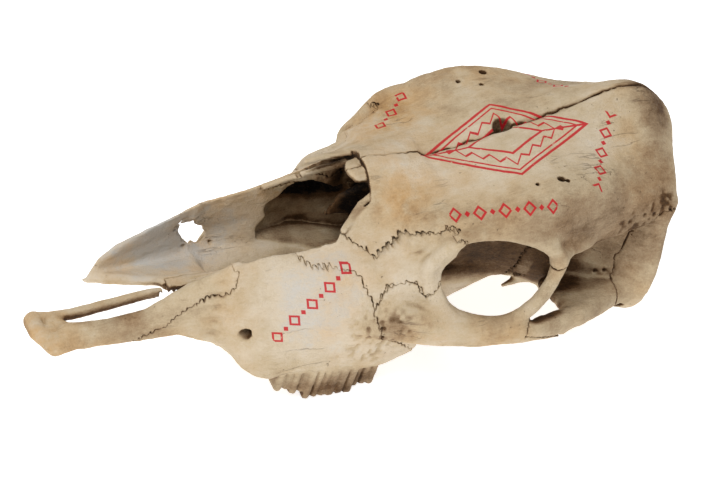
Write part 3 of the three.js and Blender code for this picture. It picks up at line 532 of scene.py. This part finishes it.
# Rows of rods that span a thin curved plate between two chains
def web_pairs(low, high, rows):
    pairs = []
    for row in range(rows + 1):
        t = row / rows
        points = []
        for k in range(5):
            u = k / 4
            xl = low[0][0] + (low[-1][0] - low[0][0]) * u
            xh = high[0][0] + (high[-1][0] - high[0][0]) * u
            mixed = [along_line(low, xl, c) * (1 - t) + along_line(high, xh, c) * t for c in (1, 2, 3)]
            points.append([xl * (1 - t) + xh * t, *mixed])
        pairs.append(chain_pairs(points))
    return pairs


# The whole skull as a block of signed distances, negative in bone
class Block:
    def __init__(self, low, high, step):
        self.axes = [np.arange(low[k], high[k] + step, step, dtype=np.float32) for k in range(3)]
        self.step = step
        self.values = np.full([len(a) for a in self.axes], FAR, np.float32)

    def window(self, low, high):
        spans = []
        for k in range(3):
            start = int(np.searchsorted(self.axes[k], low[k]))
            stop = int(np.searchsorted(self.axes[k], high[k]))
            spans.append(slice(max(start - 1, 0), min(stop + 1, len(self.axes[k]))))
        x, y, z = (self.axes[k][spans[k]] for k in range(3))
        return tuple(spans), x[:, None, None], y[None, :, None], z[None, None, :]

    def edit(self, low, high, side, distance, combine):
        for s in ((-1, 1) if side == 0 else (side,)):
            y_low, y_high = sorted((low[1] * s, high[1] * s))
            spans, x, y, z = self.window((low[0], y_low, low[2]), (high[0], y_high, high[2]))
            part = self.values[spans]
            if part.size:
                self.values[spans] = combine(part, distance(x, y * s, z))

    def add_chain(self, points, side=0, closed=False, blend=BLEND):
        self.merge([chain_pairs(points, closed)], side, blend, 0.0)

    def add_web(self, low, high, side=0, blend=BLEND, rows=WEB_ROWS):
        self.merge(web_pairs(low, high, rows), side, blend, WEB_BLEND)

    # Chains are first joined with one another and then with the skull
    def merge(self, chains, side, blend, own_blend):
        ends = [end for pairs in chains for pair in pairs for end in pair]
        reach = max(end[3] for end in ends) + blend + self.step
        low = [min(end[k] for end in ends) - reach for k in range(3)]
        high = [max(end[k] for end in ends) + reach for k in range(3)]

        def distance(x, y, z):
            total = None
            for pairs in chains:
                one = chain_distance(x, y, z, pairs)
                total = one if total is None else join(total, one, own_blend)
            return total

        self.edit(low, high, side, distance, lambda d, e: join(d, e, blend))

    def cut_chain(self, points, side=0, blend=1.5, ragged=0.0):
        ends = np.array(points, float)
        reach = ends[:, 3].max() + blend + self.step
        low, high = ends[:, :3].min(0) - reach, ends[:, :3].max(0) + reach

        def distance(x, y, z):
            one = chain_distance(x, y, z, chain_pairs(points))
            return one + ragged * noise(x, y, z, 4.0, 23) if ragged else one

        self.edit(low, high, side, distance, lambda d, e: cut(d, e, blend))

    def ball(self, centre, size, side, combine, margin, floor=-FAR, ragged=0.0):
        least = min(size)

        def distance(x, y, z):
            u, v, w = ((a - c) / s for a, c, s in zip((x, y, z), centre, size))
            shell = (np.sqrt(u * u + v * v + w * w) - 1) * least
            if ragged:
                shell = shell + ragged * noise(x, 0.0, z, 9.0, 24)
            return np.maximum(shell, floor - z)

        low = [c - s - margin for c, s in zip(centre, size)]
        high = [c + s + margin for c, s in zip(centre, size)]
        self.edit(low, high, side, distance, combine)

    def add_ball(self, ball, side=0, blend=BLEND):
        self.ball(*ball, side, lambda d, e: join(d, e, blend), blend + 3)

    def cut_ball(self, ball, side=0, blend=3.0, floor=-FAR, ragged=0.0):
        self.ball(*ball, side, lambda d, e: cut(d, e, blend), blend + 3, floor, ragged)

    # Signed distance of the block at free points, by linear blending
    def sample(self, points, values=None):
        values = self.values if values is None else values
        cells = []
        parts = []
        for k in range(3):
            t = (points[:, k] - self.axes[k][0]) / self.step
            c = np.clip(np.floor(t).astype(int), 0, len(self.axes[k]) - 2)
            cells.append(c)
            parts.append(np.clip(t - c, 0, 1).astype(np.float32))
        total = np.zeros(len(points), np.float32)
        for corner in range(8):
            bits = [(corner >> k) & 1 for k in range(3)]
            weight = 1
            for k in range(3):
                weight = weight * (parts[k] if bits[k] else 1 - parts[k])
            total += weight * values[cells[0] + bits[0], cells[1] + bits[1], cells[2] + bits[2]]
        return total


def resample(values, coarse, fine, axis):
    step = coarse[1] - coarse[0]
    t = (fine - coarse[0]) / step
    i = np.clip(np.floor(t).astype(int), 0, len(coarse) - 2)
    shape = [1, 1, 1]
    shape[axis] = len(fine)
    w = np.clip(t - i, 0, 1).astype(np.float32).reshape(shape)
    return values.take(i, axis) * (1 - w) + values.take(i + 1, axis) * w


# A body between two x values whose sections follow the long lines, on a coarse half block, then refined
def loft(block, lines):
    x_from, x_to = lines[0][0][0], lines[0][-1][0]
    xs, ys, zs = (np.arange(low, high + COARSE_STEP, COARSE_STEP, dtype=np.float32) for low, high in (
        (FIELD_LOW[0], FIELD_HIGH[0]), (0, FIELD_HIGH[1]), (FIELD_LOW[2], FIELD_HIGH[2])))
    coarse = np.full((len(xs), len(ys), len(zs)), FAR, np.float32)
    for i, x in enumerate(xs):
        ends = max(x_from - x, x - x_to)
        if ends > 20:
            coarse[i] = ends
            continue
        inner = min(x_to, max(x_from, x))
        corners = [[along_line(line, inner, 1), along_line(line, inner, 2)] for line in lines]
        section = polygon_distance(smooth_loop(corners, SECTION_STEPS), ys[:, None], zs[None, :])
        coarse[i] = np.maximum(section, ends)
    fine = resample(coarse, zs, block.axes[2], 2)
    fine = resample(fine, xs, block.axes[0], 0)
    return resample(fine, ys, np.abs(block.axes[1]), 1)


def add_teeth(block):
    for x0, half, length, width, front, rear in TOOTH_ROW:
        lobes = max(2, round(length / TOOTH_PRONG))
        for k in range(lobes):
            share = k / (lobes - 1)
            centre = x0 + (share - 0.5) * (length - length / lobes)
            reach = length / lobes / 2 - TOOTH_GAP
            bottom = front + (rear - front) * share + TOOTH_UNEVEN * math.sin(TOOTH_WAVE * centre)

            def distance(x, y, z, centre=centre, reach=reach, bottom=bottom):
                du = np.maximum(np.abs(x - centre) - reach + TOOTH_COLUMN_ROUND, 0)
                lean = (z - bottom) * TOOTH_LEAN
                dv = np.maximum(np.abs(y - half - lean) - width / 2 + TOOTH_COLUMN_ROUND, 0)
                ring = np.sqrt(du * du + dv * dv) - TOOTH_COLUMN_ROUND
                cusp = bottom + TOOTH_CUSP_SLOPE * np.maximum(0, np.abs(x - centre) - CUSP_FLAT)
                return np.maximum(ring, np.maximum(cusp - z, z - TOOTH_ROOT_Z))

            low = (centre - reach - 3, half - width, bottom - 3)
            high = (centre + reach + 3, half + width, TOOTH_ROOT_Z + 3)
            block.edit(low, high, 0, distance, lambda d, e: join(d, e, TOOTH_BLEND))


# Height of the right side's broken edge at x
def right_edge_height(x):
    line = np.array(RIGHT_EDGE)
    return np.interp(x, line[:, 0], line[:, 1])


def trim_right_edge(block):
    def distance(x, y, z):
        along = x - EDGE_X_PER_Y * (y - EDGE_Y)
        above = right_edge_height(along) - z - EDGE_Z_PER_Y * (y - EDGE_Y)
        return np.maximum(above * EDGE_SLOPE, np.maximum(EDGE_FROM_Y - y, x - EDGE_TO_X))

    low, high = (30, EDGE_FROM_Y - 2, 20), (EDGE_TO_X + 3, 90, 210)
    block.edit(low, high, 1, distance, lambda d, e: cut(d, e, EDGE_BLEND))


def build_skull():
    block = Block(FIELD_LOW, FIELD_HIGH, VOXEL)
    block.values = join(loft(block, FACE_LINES), loft(block, CRANIUM_LINES), BLEND)
    x, y, z = (axis.reshape([-1 if k == n else 1 for k in range(3)]) for n, axis in enumerate(block.axes))
    height = np.clip((z - POLL_FROM) / (POLL_TO - POLL_FROM), 0, 1)
    neck_face = NECK_X + POLL_BULGE * height * np.exp(-((y / POLL_HALF) ** 2)) - x
    block.values = cut(block.values, neck_face, NECK_ROUND)
    nasal = loft(block, NASAL_CAVITY_LINES)
    block.inside_nose = nasal.copy()
    coarse, fine = (amount * noise(x, y, 0.0, size, seed) for amount, size, seed in RIM_NOISE)
    ragged = (coarse + fine) * rise(z, RIM_FROM_Z, RIM_OVER_Z)
    block.values = cut(block.values, nasal + ragged, NASAL_BLEND)
    block.cut_ball(RIGHT_RECESS, 1, 1.5, RECESS_FLOOR, RECESS_RAGGED)
    block.cut_ball(SINUS_HOLE, 1, FINE_BLEND, -FAR, SINUS_RAGGED)
    for ball in (ORBIT_HOLLOW, ORBIT_PIT, CHOANA):
        block.cut_ball(ball)
    for side in (1, -1):
        block.cut_chain(NECK_CANAL, side, NECK_CANAL_BLEND)
    block.add_chain(smooth_loop(ORBIT_RIM, SECTION_STEPS).tolist(), closed=True)
    block.add_web(ARCH_BOTTOM, ARCH_TOP)
    for chain in (ARCH_REAR, EAR_REGION, EAR_SPUR, BAR_FLANGE, NECK_PROCESS, PTERYGOID_HOOK, MUZZLE_RIDGE):
        block.add_chain(chain)
    block.add_web(SCROLL_LOW, SCROLL_HIGH, blend=SCROLL_BLEND)
    block.add_web(ARCH_REAR[2:], SHELF_INNER)
    block.add_web(PTERYGOID_EDGE, PTERYGOID_TOP)
    block.add_ball(CONDYLE)
    block.add_ball(EAR_BULB)
    block.add_web(PREMAXILLA_EDGE, PREMAXILLA_BAR, -1)
    block.add_chain(PREMAXILLA_FRONT, -1)
    block.add_chain(PREMAXILLA_INNER, -1)
    block.add_web(RIGHT_PLATE_LOW, RIGHT_PLATE_MID, 1, rows=PLATE_ROWS)
    block.add_web(RIGHT_PLATE_MID, RIGHT_PLATE_HIGH, 1, rows=PLATE_ROWS)
    block.add_web(RIGHT_PLATE_LOW, RIGHT_PALATE, 1, rows=PLATE_ROWS)
    trim_right_edge(block)
    block.add_chain(RIGHT_LIP, 1)
    block.add_web(*FRONTAL_SLIVER, 1, blend=TIP_BLEND)
    block.add_chain(FRONTAL_TONGUE, -1, blend=TIP_BLEND)
    for side in (-1, 1):
        block.add_web(*FRONTAL_TIP, side, blend=TIP_BLEND)
    add_teeth(block)
    block.cut_chain(SHOT_HOLE, 1)
    block.cut_chain(BROW_HOLE)
    block.cut_chain(CHEEK_HOLE)
    block.cut_chain(RIGHT_HOLE, 1, FINE_BLEND, HOLE_RAGGED)
    block.cut_chain(ARCH_SLIT, 0, SMALL_HOLE_BLEND)
    for side, hole in SMALL_HOLES:
        block.cut_chain(hole, side, SMALL_HOLE_BLEND)
    block.cut_ball(EAR_HOLE, 0, 1.5)
    tipped = -x * math.sin(REST_TILT) + z * math.cos(REST_TILT)
    block.values = np.maximum(block.values, REST_POINT[2] - tipped)
    return block


# Suture teeth: the parting line between two bones wanders in small steps
def serration(x, z):
    drift = noise(x, 0.0, z, 9.0, 12)
    zigzag = [np.abs(np.mod(a + 2.0 * drift, ZIGZAG) - ZIGZAG / 2) - ZIGZAG / 4 for a in (x, z)]
    return 1.3 * zigzag[0] + 0.7 * zigzag[1] + 1.4 * drift


# The seam along the middle wanders from side to side
def middle_wave(x, z):
    return 1.1 * noise(x, 0.0, z * 0.3, 9.0, 5) + 0.5 * noise(x, 0.0, z * 0.3, 3.0, 6)


# Largest connected shell of a mesh
def largest_shell(points, faces):
    label = np.arange(len(points))
    pairs = np.concatenate([faces[:, [k, (k + 1) % 4]] for k in range(4)])
    while True:
        low = np.minimum(label[pairs[:, 0]], label[pairs[:, 1]])
        before = label.copy()
        np.minimum.at(label, pairs[:, 0], low)
        np.minimum.at(label, pairs[:, 1], low)
        for _ in range(4):
            label = label[label]
        if np.array_equal(before, label):
            break
    names, counts = np.unique(label, return_counts=True)
    keep = label == names[counts.argmax()]
    index = np.cumsum(keep) - 1
    return points[keep], index[faces[keep[faces[:, 0]]]]


def vertex_normals(points, faces):
    a, b, c, d = (points[faces[:, k]] for k in range(4))
    normal = np.cross(c - a, d - b)
    total = np.zeros_like(points)
    for k in range(4):
        np.add.at(total, faces[:, k], normal)
    return total / np.maximum(np.linalg.norm(total, axis=1, keepdims=True), 1e-9)


# Share by which the right half is wider at x
def right_scale(x):
    narrow, wide = (share * np.exp(-(((x - middle) / reach) ** 2)) for share, middle, reach in
                    (RIGHT_NARROW, RIGHT_WIDE))
    return 1 - narrow + wide


def to_rest(points):
    c, s = math.cos(REST_TILT), math.sin(REST_TILT)
    x, y, z = points[:, 0], points[:, 1], points[:, 2]
    y = np.where(y > 0, y * right_scale(x), y)
    tipped = np.stack([x * c + z * s, y, -x * s + z * c], 1)
    return (tipped - np.array(REST_POINT)) * MM


def part_bones(block):
    rest = block.values.copy()
    bones = []
    for name, outline, y_from, y_to, *wall in ALL_BONES:
        side = np.array(outline, float)
        widest = wall[1] if wall else 0
        low = (side[:, 0].min() - 3, min(y_from, -widest) - 3, side[:, 1].min() - 3)
        high = (side[:, 0].max() + 3, max(y_to, widest) + 3, side[:, 1].max() + 3)
        spans, x, y, z = block.window(low, high)
        u, v = x[:, 0, :], z[0]
        flat = polygon_distance(side.astype(np.float32), u, v) + serration(u, v)
        wave = middle_wave(u, v)[:, None, :]
        region = np.maximum(flat[:, None, :], np.maximum(y_from - y + wave, y - y_to - wave))
        if wall:
            extra = polygon_distance(np.array(wall[0], np.float32), u, v) + serration(u, v)
            region = np.minimum(region, np.maximum(extra[:, None, :], np.abs(y) - widest))
        part = np.maximum(rest[spans], region)
        rest[spans] = np.maximum(rest[spans], SUTURE_GAP - region)
        padded = np.pad(part, 1, constant_values=OUTSIDE)
        grid = openvdb.FloatGrid(OUTSIDE)
        grid.copyFromArray(np.ascontiguousarray(padded))
        points, faces = grid.convertToQuads(isovalue=0.0)
        start = np.array([a.ravel()[0] for a in (x, y, z)]) - block.step
        points = points * block.step + start
        points, faces = largest_shell(points.astype(np.float64), faces.astype(np.int64))
        a, b, c = (points[faces[:, k]] for k in range(3))
        if np.einsum("ij,ij->", a, np.cross(b, c)) < 0:
            faces = faces[:, ::-1]
        bones.append((name, points, faces))
    return bones


# Share of how closed in each point is, seen over a reach
def closeness(block, points, normal, reach):
    return np.clip(1 - block.sample(points + normal * reach) / reach, 0, 1)


def shade(block, points, normal, reach, start, span, amount):
    return rise(closeness(block, points, normal, reach), start, span) * amount


# Depth of small pits at each point
def pit_depth(x, y, z):
    amount = np.zeros(len(x), np.float32)
    for cx, half, cz, reach, depth in PIT_ZONES:
        gap = ((x - cx) ** 2 + (np.abs(y) - half) ** 2 + (z - cz) ** 2) / reach ** 2
        amount = np.maximum(amount, depth * np.clip(1.5 * np.exp(-gap), 0, 1))
    return amount * np.clip(PIT_GAIN * noise(x, y, z * 0.7, PIT_SIZE, 41), 0, 1)


def add_zones(values, zones, x, y, z):
    for cx, cy, cz, rx, ry, rz, amount in zones:
        values += amount * np.exp(-(((x - cx) / rx) ** 2 + ((y - cy) / ry) ** 2 + ((z - cz) / rz) ** 2))


# How golden the bone is at each point
def bone_warmth(x, y, z):
    warmth = 0.10 + 0.28 * noise(x, y, z, 30.0, 51) + 0.16 * noise(x, y, z, 12.0, 52)
    add_zones(warmth, WARM_ZONES, x, y, z)
    return np.clip(warmth, 0, 1)


# How dark each point is drawn, 0 bleached to 1 black: the bone's own stains together with painted shade in
# hollows, pits, the nose, the eye sockets and the sinus, and the painted light and shade of some zones
def bone_tone_and_shade(block, points, normal):
    x, y, z = points.T
    tone_and_shade = np.full(len(points), BASE_TONE, np.float32)
    add_zones(tone_and_shade, STAIN_AND_LIGHT_ZONES, x, y, z)
    large, middle, small = TONE_NOISE
    tone_and_shade += (large[0] * noise(x, y, z, *large[1:]) + middle[0] * noise(x, y, z, *middle[1:])
             + small[0] * noise(x * STREAK, y, z, *small[1:]))
    # Painted shade in closed in places
    hollow_shade = shade(block, points, normal, *NEAR_SHADE) + shade(block, points, normal, *FAR_SHADE)
    # Painted shade at the back of the nose cavity, left off upward-facing surfaces at its top
    nose = np.clip(1 - (block.sample(points, block.inside_nose) - NOSE_WALL[0]) / NOSE_WALL[1], 0, 1)
    back = nose * rise(x, *NOSE_X) * rise(z, *NOSE_Z)
    back *= 1 - rise(z, *NOSE_TOP_Z) * np.clip((normal[:, 2] - 0.1) * 3, 0, 1)
    # The painted shade of closed in places is left off the bared right wall
    hollow_shade *= 1 - rise(y, *WALL_Y) * fall(x, *WALL_X)
    # Painted shade in the eye sockets and the hollows behind them
    socket = fall(np.abs(y), *SOCKET_Y) * fall(z, *SOCKET_TOP) * rise(x, *SOCKET_FRONT)
    socket *= fall(x, *SOCKET_REAR) * rise(z, *SOCKET_BOTTOM)
    # Pits drawn darker by their depth: brown dirt and painted shade
    tone_and_shade += PIT_DIRT_AND_SHADE * pit_depth(x, y, z)
    seam = np.exp(-((y - middle_wave(x, z)) / SEAM_HALF) ** 2) * rise(x, *SEAM_X)
    tone_and_shade += SEAM_TONE * seam * rise(z, *SEAM_Z)
    # Painted shade in the sinus hole of the right side
    u, v, w = ((a - c) / r for a, c, r in zip((x, y, z), SINUS_AT, SINUS_REACH))
    sinus_shade = SINUS_SHADE * np.exp(-(u ** 2 + v ** 4 + w ** 2))
    tone_and_shade = np.clip(tone_and_shade + hollow_shade * (1 - back) + socket * SOCKET_SHADE, 0, SHADED_TONE)
    return np.clip(tone_and_shade + back * NOSE_SHADE + sinus_shade, 0, 1)


# Flat coordinates of the painted marks, with 1 in "band" or "figure" near one
def paint_marks(points, normal):
    marks = {label: np.zeros(len(points), np.float32) for label in ("mark_u", "mark_v", "band", "figure")}
    for kind, middle, end, facing, half_length, half_width in MARKS:
        middle, end, facing = (np.array(a, float) for a in (middle, end, facing))
        along = (end - middle) / np.linalg.norm(end - middle)
        facing -= along * (facing @ along)
        facing /= np.linalg.norm(facing)
        offset = points - middle
        u, v = offset @ along, offset @ np.cross(facing, along)
        on = (np.abs(u) < half_length + MARK_MARGIN) & (np.abs(v) < half_width + MARK_MARGIN)
        on &= (np.abs(offset @ facing) < MARK_REACH) & (normal @ facing > 0.05)
        if kind == "figure":
            on &= np.abs(u) / half_length + np.abs(v) / half_width < 1.15
        for label in ("band", "figure"):
            marks[label][on] = 0
        marks["mark_u"][on] = u[on]
        marks["mark_v"][on] = v[on]
        marks[kind][on] = 1
        if kind == "band":
            marks[kind][on & (np.abs(u) > half_length)] = 0
    return marks


def make_bone(block, name, points, faces, material):
    normal = vertex_normals(points, faces)
    x, y, z = points.T
    rough = 0.26 * noise(x, y, z, 5.0, 3) + 0.14 * noise(x, y, z, 2.2, 4) - pit_depth(x, y, z)
    values = {"tone_and_shade": bone_tone_and_shade(block, points, normal), "warmth": bone_warmth(x, y, z)}
    marks = paint_marks(points, normal) if name in PAINTED else None
    if marks is not None:
        values.update(marks)
    points = points + normal * rough[:, None]
    mesh = bpy.data.meshes.new(name)
    mesh.from_pydata(to_rest(points).tolist(), [], faces.tolist())
    mesh.polygons.foreach_set("use_smooth", [True] * len(mesh.polygons))
    for label, column in values.items():
        mesh.attributes.new(label, "FLOAT", "POINT").data.foreach_set("value", column.astype(np.float32))
    mesh.materials.append(material)
    mesh.update()
    bone = bpy.data.objects.new("bone_" + name, mesh)
    bpy.context.scene.collection.objects.link(bone)
    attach(bone, "root")
    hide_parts(name)


# Linear colour of a display colour
def linear(r, g, b):
    return tuple((c / 12.92 if c <= 0.04045 else ((c + 0.055) / 1.055) ** 2.4) for c in (r, g, b)) + (1.0,)


TONES = [
    (0.0, linear(0.765, 0.75, 0.725)), (0.2, linear(0.81, 0.75, 0.66)), (0.4, linear(0.75, 0.675, 0.555)),
    (0.6, linear(0.60, 0.51, 0.40)), (0.8, linear(0.37, 0.27, 0.17)), (1.0, linear(0.07, 0.045, 0.03)),
]
GOLDEN = linear(1.0, 0.89, 0.74)
PORE = linear(0.28, 0.17, 0.09)
PAINT = linear(0.74, 0.03, 0.12)
BAND_STEP = 8.0
FIGURE_HALF = (58.0, 34.0)
FIGURE_RINGS = ((1.0, 0.034), (0.88, 0.02))
ZIGZAG_RING = (0.74, 0.028)
ZIGZAG_STEP = 5.0
INNER_RING = (0.44, 0.03)
PAINT_COVER = 0.92

# Patterns of the bone: scale per metre, detail and roughness, and the share of the first four in the tone
MOTTLE = (60.0, 6.0, 0.6)
SPECKLE = (190.0, 5.0, 0.6)
GRAIN = (520.0, 6.0, 0.65)
GRIT = (800.0, 3.0, 0.6)
TONE_SHARES = (0.28, 0.18, 0.20, 0.18)
GRAIN_STRETCH = (0.22, 1.0, 1.0)
CRACK_STRETCH = (0.12, 1.0, 1.0)
CRACKS = (60.0, 4.0, 0.55)
CRACK_PATCHES = (22.0, 2.0)
PORES = (420.0, 2.0, 0.5)
PORE_PATCHES = (30.0, 2.0)
WORN_PAINT = (260.0, 3.0)
CRACK_DARK = 0.4
PORE_DARK = 0.6
BONE_ROUGHNESS = 0.72
BONE_SPECULAR = 0.18
GRIT_HEIGHT = 0.8
DARK_DEPTH = 1.5
BUMP_STRENGTH = 0.8


# Shader nodes of one material, placed by the object's own coordinates
class Nodes:
    def __init__(self, name):
        self.material = bpy.data.materials.new(name)
        self.material.use_nodes = True
        self.tree = self.material.node_tree
        self.shader = self.tree.nodes["Principled BSDF"]
        self.place = self.add("ShaderNodeTexCoord").outputs["Object"]

    def add(self, kind, **inputs):
        node = self.tree.nodes.new(kind)
        self.fill(node, inputs)
        return node

    def fill(self, node, inputs):
        for key, value in inputs.items():
            self.put(node.inputs[key], value)

    def put(self, socket, value):
        if isinstance(value, bpy.types.NodeSocket):
            self.tree.links.new(value, socket)
        else:
            socket.default_value = value

    def noise(self, scale, detail=4.0, rough=0.55, place=None):
        node = self.add("ShaderNodeTexNoise", Scale=scale, Detail=detail, Roughness=rough)
        self.tree.links.new(place or self.place, node.inputs["Vector"])
        return node.outputs["Fac"]

    def stretched(self, scale):
        node = self.add("ShaderNodeMapping")
        node.inputs["Scale"].default_value = scale
        self.tree.links.new(self.place, node.inputs["Vector"])
        return node.outputs["Vector"]

    def attribute(self, name):
        node = self.add("ShaderNodeAttribute")
        node.attribute_name = name
        return node.outputs["Fac"]

    def math(self, kind, a, b=0.0):
        node = self.add("ShaderNodeMath")
        node.operation = kind
        self.put(node.inputs[0], a)
        self.put(node.inputs[1], b)
        return node.outputs[0]

    def times(self, a, b):
        return self.math("MULTIPLY", a, b)

    def ramp(self, value, low, high):
        node = self.add("ShaderNodeMapRange")
        node.interpolation_type = "SMOOTHSTEP"
        self.put(node.inputs["Value"], value)
        self.put(node.inputs["From Min"], low)
        self.put(node.inputs["From Max"], high)
        return node.outputs["Result"]

    def colours(self, value, stops):
        node = self.add("ShaderNodeValToRGB")
        elements = node.color_ramp.elements
        while len(elements) < len(stops):
            elements.new(0.5)
        for element, (place, colour) in zip(elements, stops):
            element.position = place
            element.color = colour
        self.put(node.inputs["Fac"], value)
        return node.outputs["Color"]

    def mix(self, factor, a, b, blend="MIX"):
        node = self.add("ShaderNodeMix")
        node.data_type = "RGBA"
        node.blend_type = blend
        self.put(node.inputs[0], factor)
        self.put(node.inputs[6], a)
        self.put(node.inputs[7], b)
        return node.outputs[2]


# Paint on the marks: a chain of lozenges and dots on a band, lozenges round one another in the figure
def paint_amount(nodes):
    def line(value, place, half):
        gap = nodes.math("ABSOLUTE", nodes.math("SUBTRACT", value, place))
        return nodes.ramp(gap, half * 1.25, half * 0.75)

    def both(a, b, kind="MAXIMUM"):
        return nodes.math(kind, a, b)

    u, v = nodes.attribute("mark_u"), nodes.attribute("mark_v")
    long_u, long_v = nodes.math("ABSOLUTE", u), nodes.math("ABSOLUTE", v)
    step = nodes.math("PINGPONG", u, BAND_STEP)
    cell_u = nodes.math("DIVIDE", step, BAND_STEP / 2)
    cell_v = nodes.math("DIVIDE", long_v, BAND_HALF)
    lozenge = line(both(cell_u, cell_v, "ADD"), 0.92, 0.24)
    rest_u = nodes.math("SUBTRACT", 2.0, cell_u)
    dot = nodes.ramp(both(rest_u, cell_v, "ADD"), 0.52, 0.42)
    band = both(both(lozenge, dot), nodes.ramp(nodes.attribute("band"), 0.97, 0.99), "MULTIPLY")
    share_u = nodes.math("DIVIDE", long_u, FIGURE_HALF[0])
    share_v = nodes.math("DIVIDE", long_v, FIGURE_HALF[1])
    ring = both(share_u, share_v, "ADD")
    zigzag = nodes.times(nodes.math("PINGPONG", u, ZIGZAG_STEP), 0.03)
    figure = both(line(ring, *FIGURE_RINGS[0]), line(ring, *FIGURE_RINGS[1]))
    figure = both(figure, line(nodes.math("ADD", ring, zigzag), *ZIGZAG_RING))
    figure = both(figure, line(ring, *INNER_RING))
    figure = both(figure, nodes.times(line(long_v, 0.0, 0.75), nodes.ramp(ring, 0.43, 0.45)))
    inner = nodes.times(figure, nodes.ramp(ring, 1.04, 1.02))
    figure = both(inner, nodes.ramp(nodes.attribute("figure"), 0.97, 0.99), "MULTIPLY")
    worn = nodes.ramp(nodes.noise(*WORN_PAINT), 0.26, 0.36)
    return both(both(band, figure), worn, "MULTIPLY")


def bone_material():
    nodes = Nodes("bone")
    mottle = nodes.noise(*MOTTLE)
    speckle = nodes.noise(*SPECKLE)
    grain = nodes.noise(*GRAIN, nodes.stretched(GRAIN_STRETCH))
    grit = nodes.noise(*GRIT)
    # The attribute holds the bone's stains together with painted shade in hollows, pits, nose, eye sockets
    # and sinus
    tone_and_shade = nodes.attribute("tone_and_shade")
    for pattern, share in zip((mottle, speckle, grain, grit), TONE_SHARES):
        tone_and_shade = nodes.math("ADD", tone_and_shade, nodes.times(nodes.math("SUBTRACT", pattern, 0.5), share))
    colour = nodes.colours(tone_and_shade, TONES)
    golden = nodes.times(nodes.attribute("warmth"), nodes.ramp(mottle, 0.25, 0.62))
    colour = nodes.mix(golden, colour, GOLDEN, "MULTIPLY")
    crack_noise = nodes.noise(*CRACKS, nodes.stretched(CRACK_STRETCH))
    crack = nodes.math("ABSOLUTE", nodes.math("SUBTRACT", crack_noise, 0.5))
    patch = nodes.ramp(nodes.noise(*CRACK_PATCHES), 0.56, 0.68)
    crack = nodes.times(nodes.ramp(crack, 0.009, 0.003), patch)
    pore = nodes.ramp(nodes.noise(*PORES), 0.70, 0.76)
    pore = nodes.times(pore, nodes.ramp(nodes.noise(*PORE_PATCHES), 0.48, 0.6))
    crack = nodes.times(crack, CRACK_DARK)
    dark = nodes.math("MAXIMUM", crack, nodes.times(pore, PORE_DARK))
    colour = nodes.mix(dark, colour, PORE)
    colour = nodes.mix(nodes.times(paint_amount(nodes), PAINT_COVER), colour, PAINT)
    height = nodes.math("ADD", nodes.math("ADD", grain, speckle), nodes.times(grit, GRIT_HEIGHT))
    height = nodes.math("SUBTRACT", height, nodes.times(dark, DARK_DEPTH))
    bump = nodes.add("ShaderNodeBump", Strength=BUMP_STRENGTH, Distance=MM, Height=height)
    nodes.fill(nodes.shader, {
        "Base Color": colour, "Roughness": BONE_ROUGHNESS, "Specular IOR Level": BONE_SPECULAR,
        "Normal": bump.outputs["Normal"],
    })
    return nodes.material


def make_floor():
    mesh = bpy.data.meshes.new("floor")
    corners = [(FLOOR_HALF * a, FLOOR_HALF * b, 0) for a, b in ((-1, -1), (1, -1), (1, 1), (-1, 1))]
    mesh.from_pydata(corners, [], [(0, 1, 2, 3)])
    floor = bpy.data.objects.new("floor", mesh)
    nodes = Nodes("floor")
    nodes.fill(nodes.shader, {
        "Base Color": (FLOOR_GREY, FLOOR_GREY, FLOOR_GREY, 1), "Roughness": FLOOR_ROUGHNESS,
        "Emission Color": (1, 1, 1, 1), "Emission Strength": FLOOR_GLOW,
    })
    mesh.materials.append(nodes.material)
    bpy.context.scene.collection.objects.link(floor)


def camera_axes():
    back = Vector((math.sin(CAMERA_AZIMUTH) * math.cos(CAMERA_ELEVATION),
                   -math.cos(CAMERA_AZIMUTH) * math.cos(CAMERA_ELEVATION), math.sin(CAMERA_ELEVATION)))
    level = (-back).cross(Vector((0, 0, 1))).normalized()
    above = level.cross(-back)
    right = math.cos(CAMERA_ROLL) * level + math.sin(CAMERA_ROLL) * above
    up = -math.sin(CAMERA_ROLL) * level + math.cos(CAMERA_ROLL) * above
    return right, up, back


def make_camera():
    right, up, back = camera_axes()
    place = Vector(CAMERA_LOOK) + back * CAMERA_DISTANCE + right * CAMERA_OFFSET[0] + up * CAMERA_OFFSET[1]
    tilt = Matrix.Rotation(REST_TILT, 4, "Y")
    turn = tilt.to_3x3() @ Matrix((right, up, back)).transposed()
    data = bpy.data.cameras.new("camera")
    data.sensor_width = SENSOR_MM
    data.lens = CAMERA_FOCAL_PX / PICTURE_WIDTH * SENSOR_MM
    data.clip_end = CAMERA_CLIP_END
    camera = bpy.data.objects.new("camera", data)
    camera.matrix_world = Matrix.Translation((tilt @ place - Vector(REST_POINT)) * MM) @ turn.to_4x4()
    bpy.context.scene.collection.objects.link(camera)
    bpy.context.scene.camera = camera


def area_light(name, place, target, size, power):
    data = bpy.data.lights.new(name, "AREA")
    data.shape = "DISK"
    data.size = size
    data.energy = power
    light = bpy.data.objects.new(name, data)
    direction = Vector(target) - Vector(place)
    light.rotation_euler = direction.to_track_quat("-Z", "Y").to_euler()
    light.location = place
    bpy.context.scene.collection.objects.link(light)


def make_light():
    world = bpy.data.worlds.new("studio")
    world.use_nodes = True
    sky = world.node_tree.nodes["Background"].inputs
    sky["Color"].default_value = (1, 1, 1, 1)
    sky["Strength"].default_value = SKY_STRENGTH
    bpy.context.scene.world = world
    area_light("key", *KEY_LIGHT)
    area_light("fill", *FILL_LIGHT)


make_camera()
make_light()
make_floor()
skull = build_skull()
bone = bone_material()
for bone_name, bone_points, bone_faces in part_bones(skull):
    make_bone(skull, bone_name, bone_points, bone_faces, bone)
bpy.context.scene.view_settings.view_transform = "Standard"
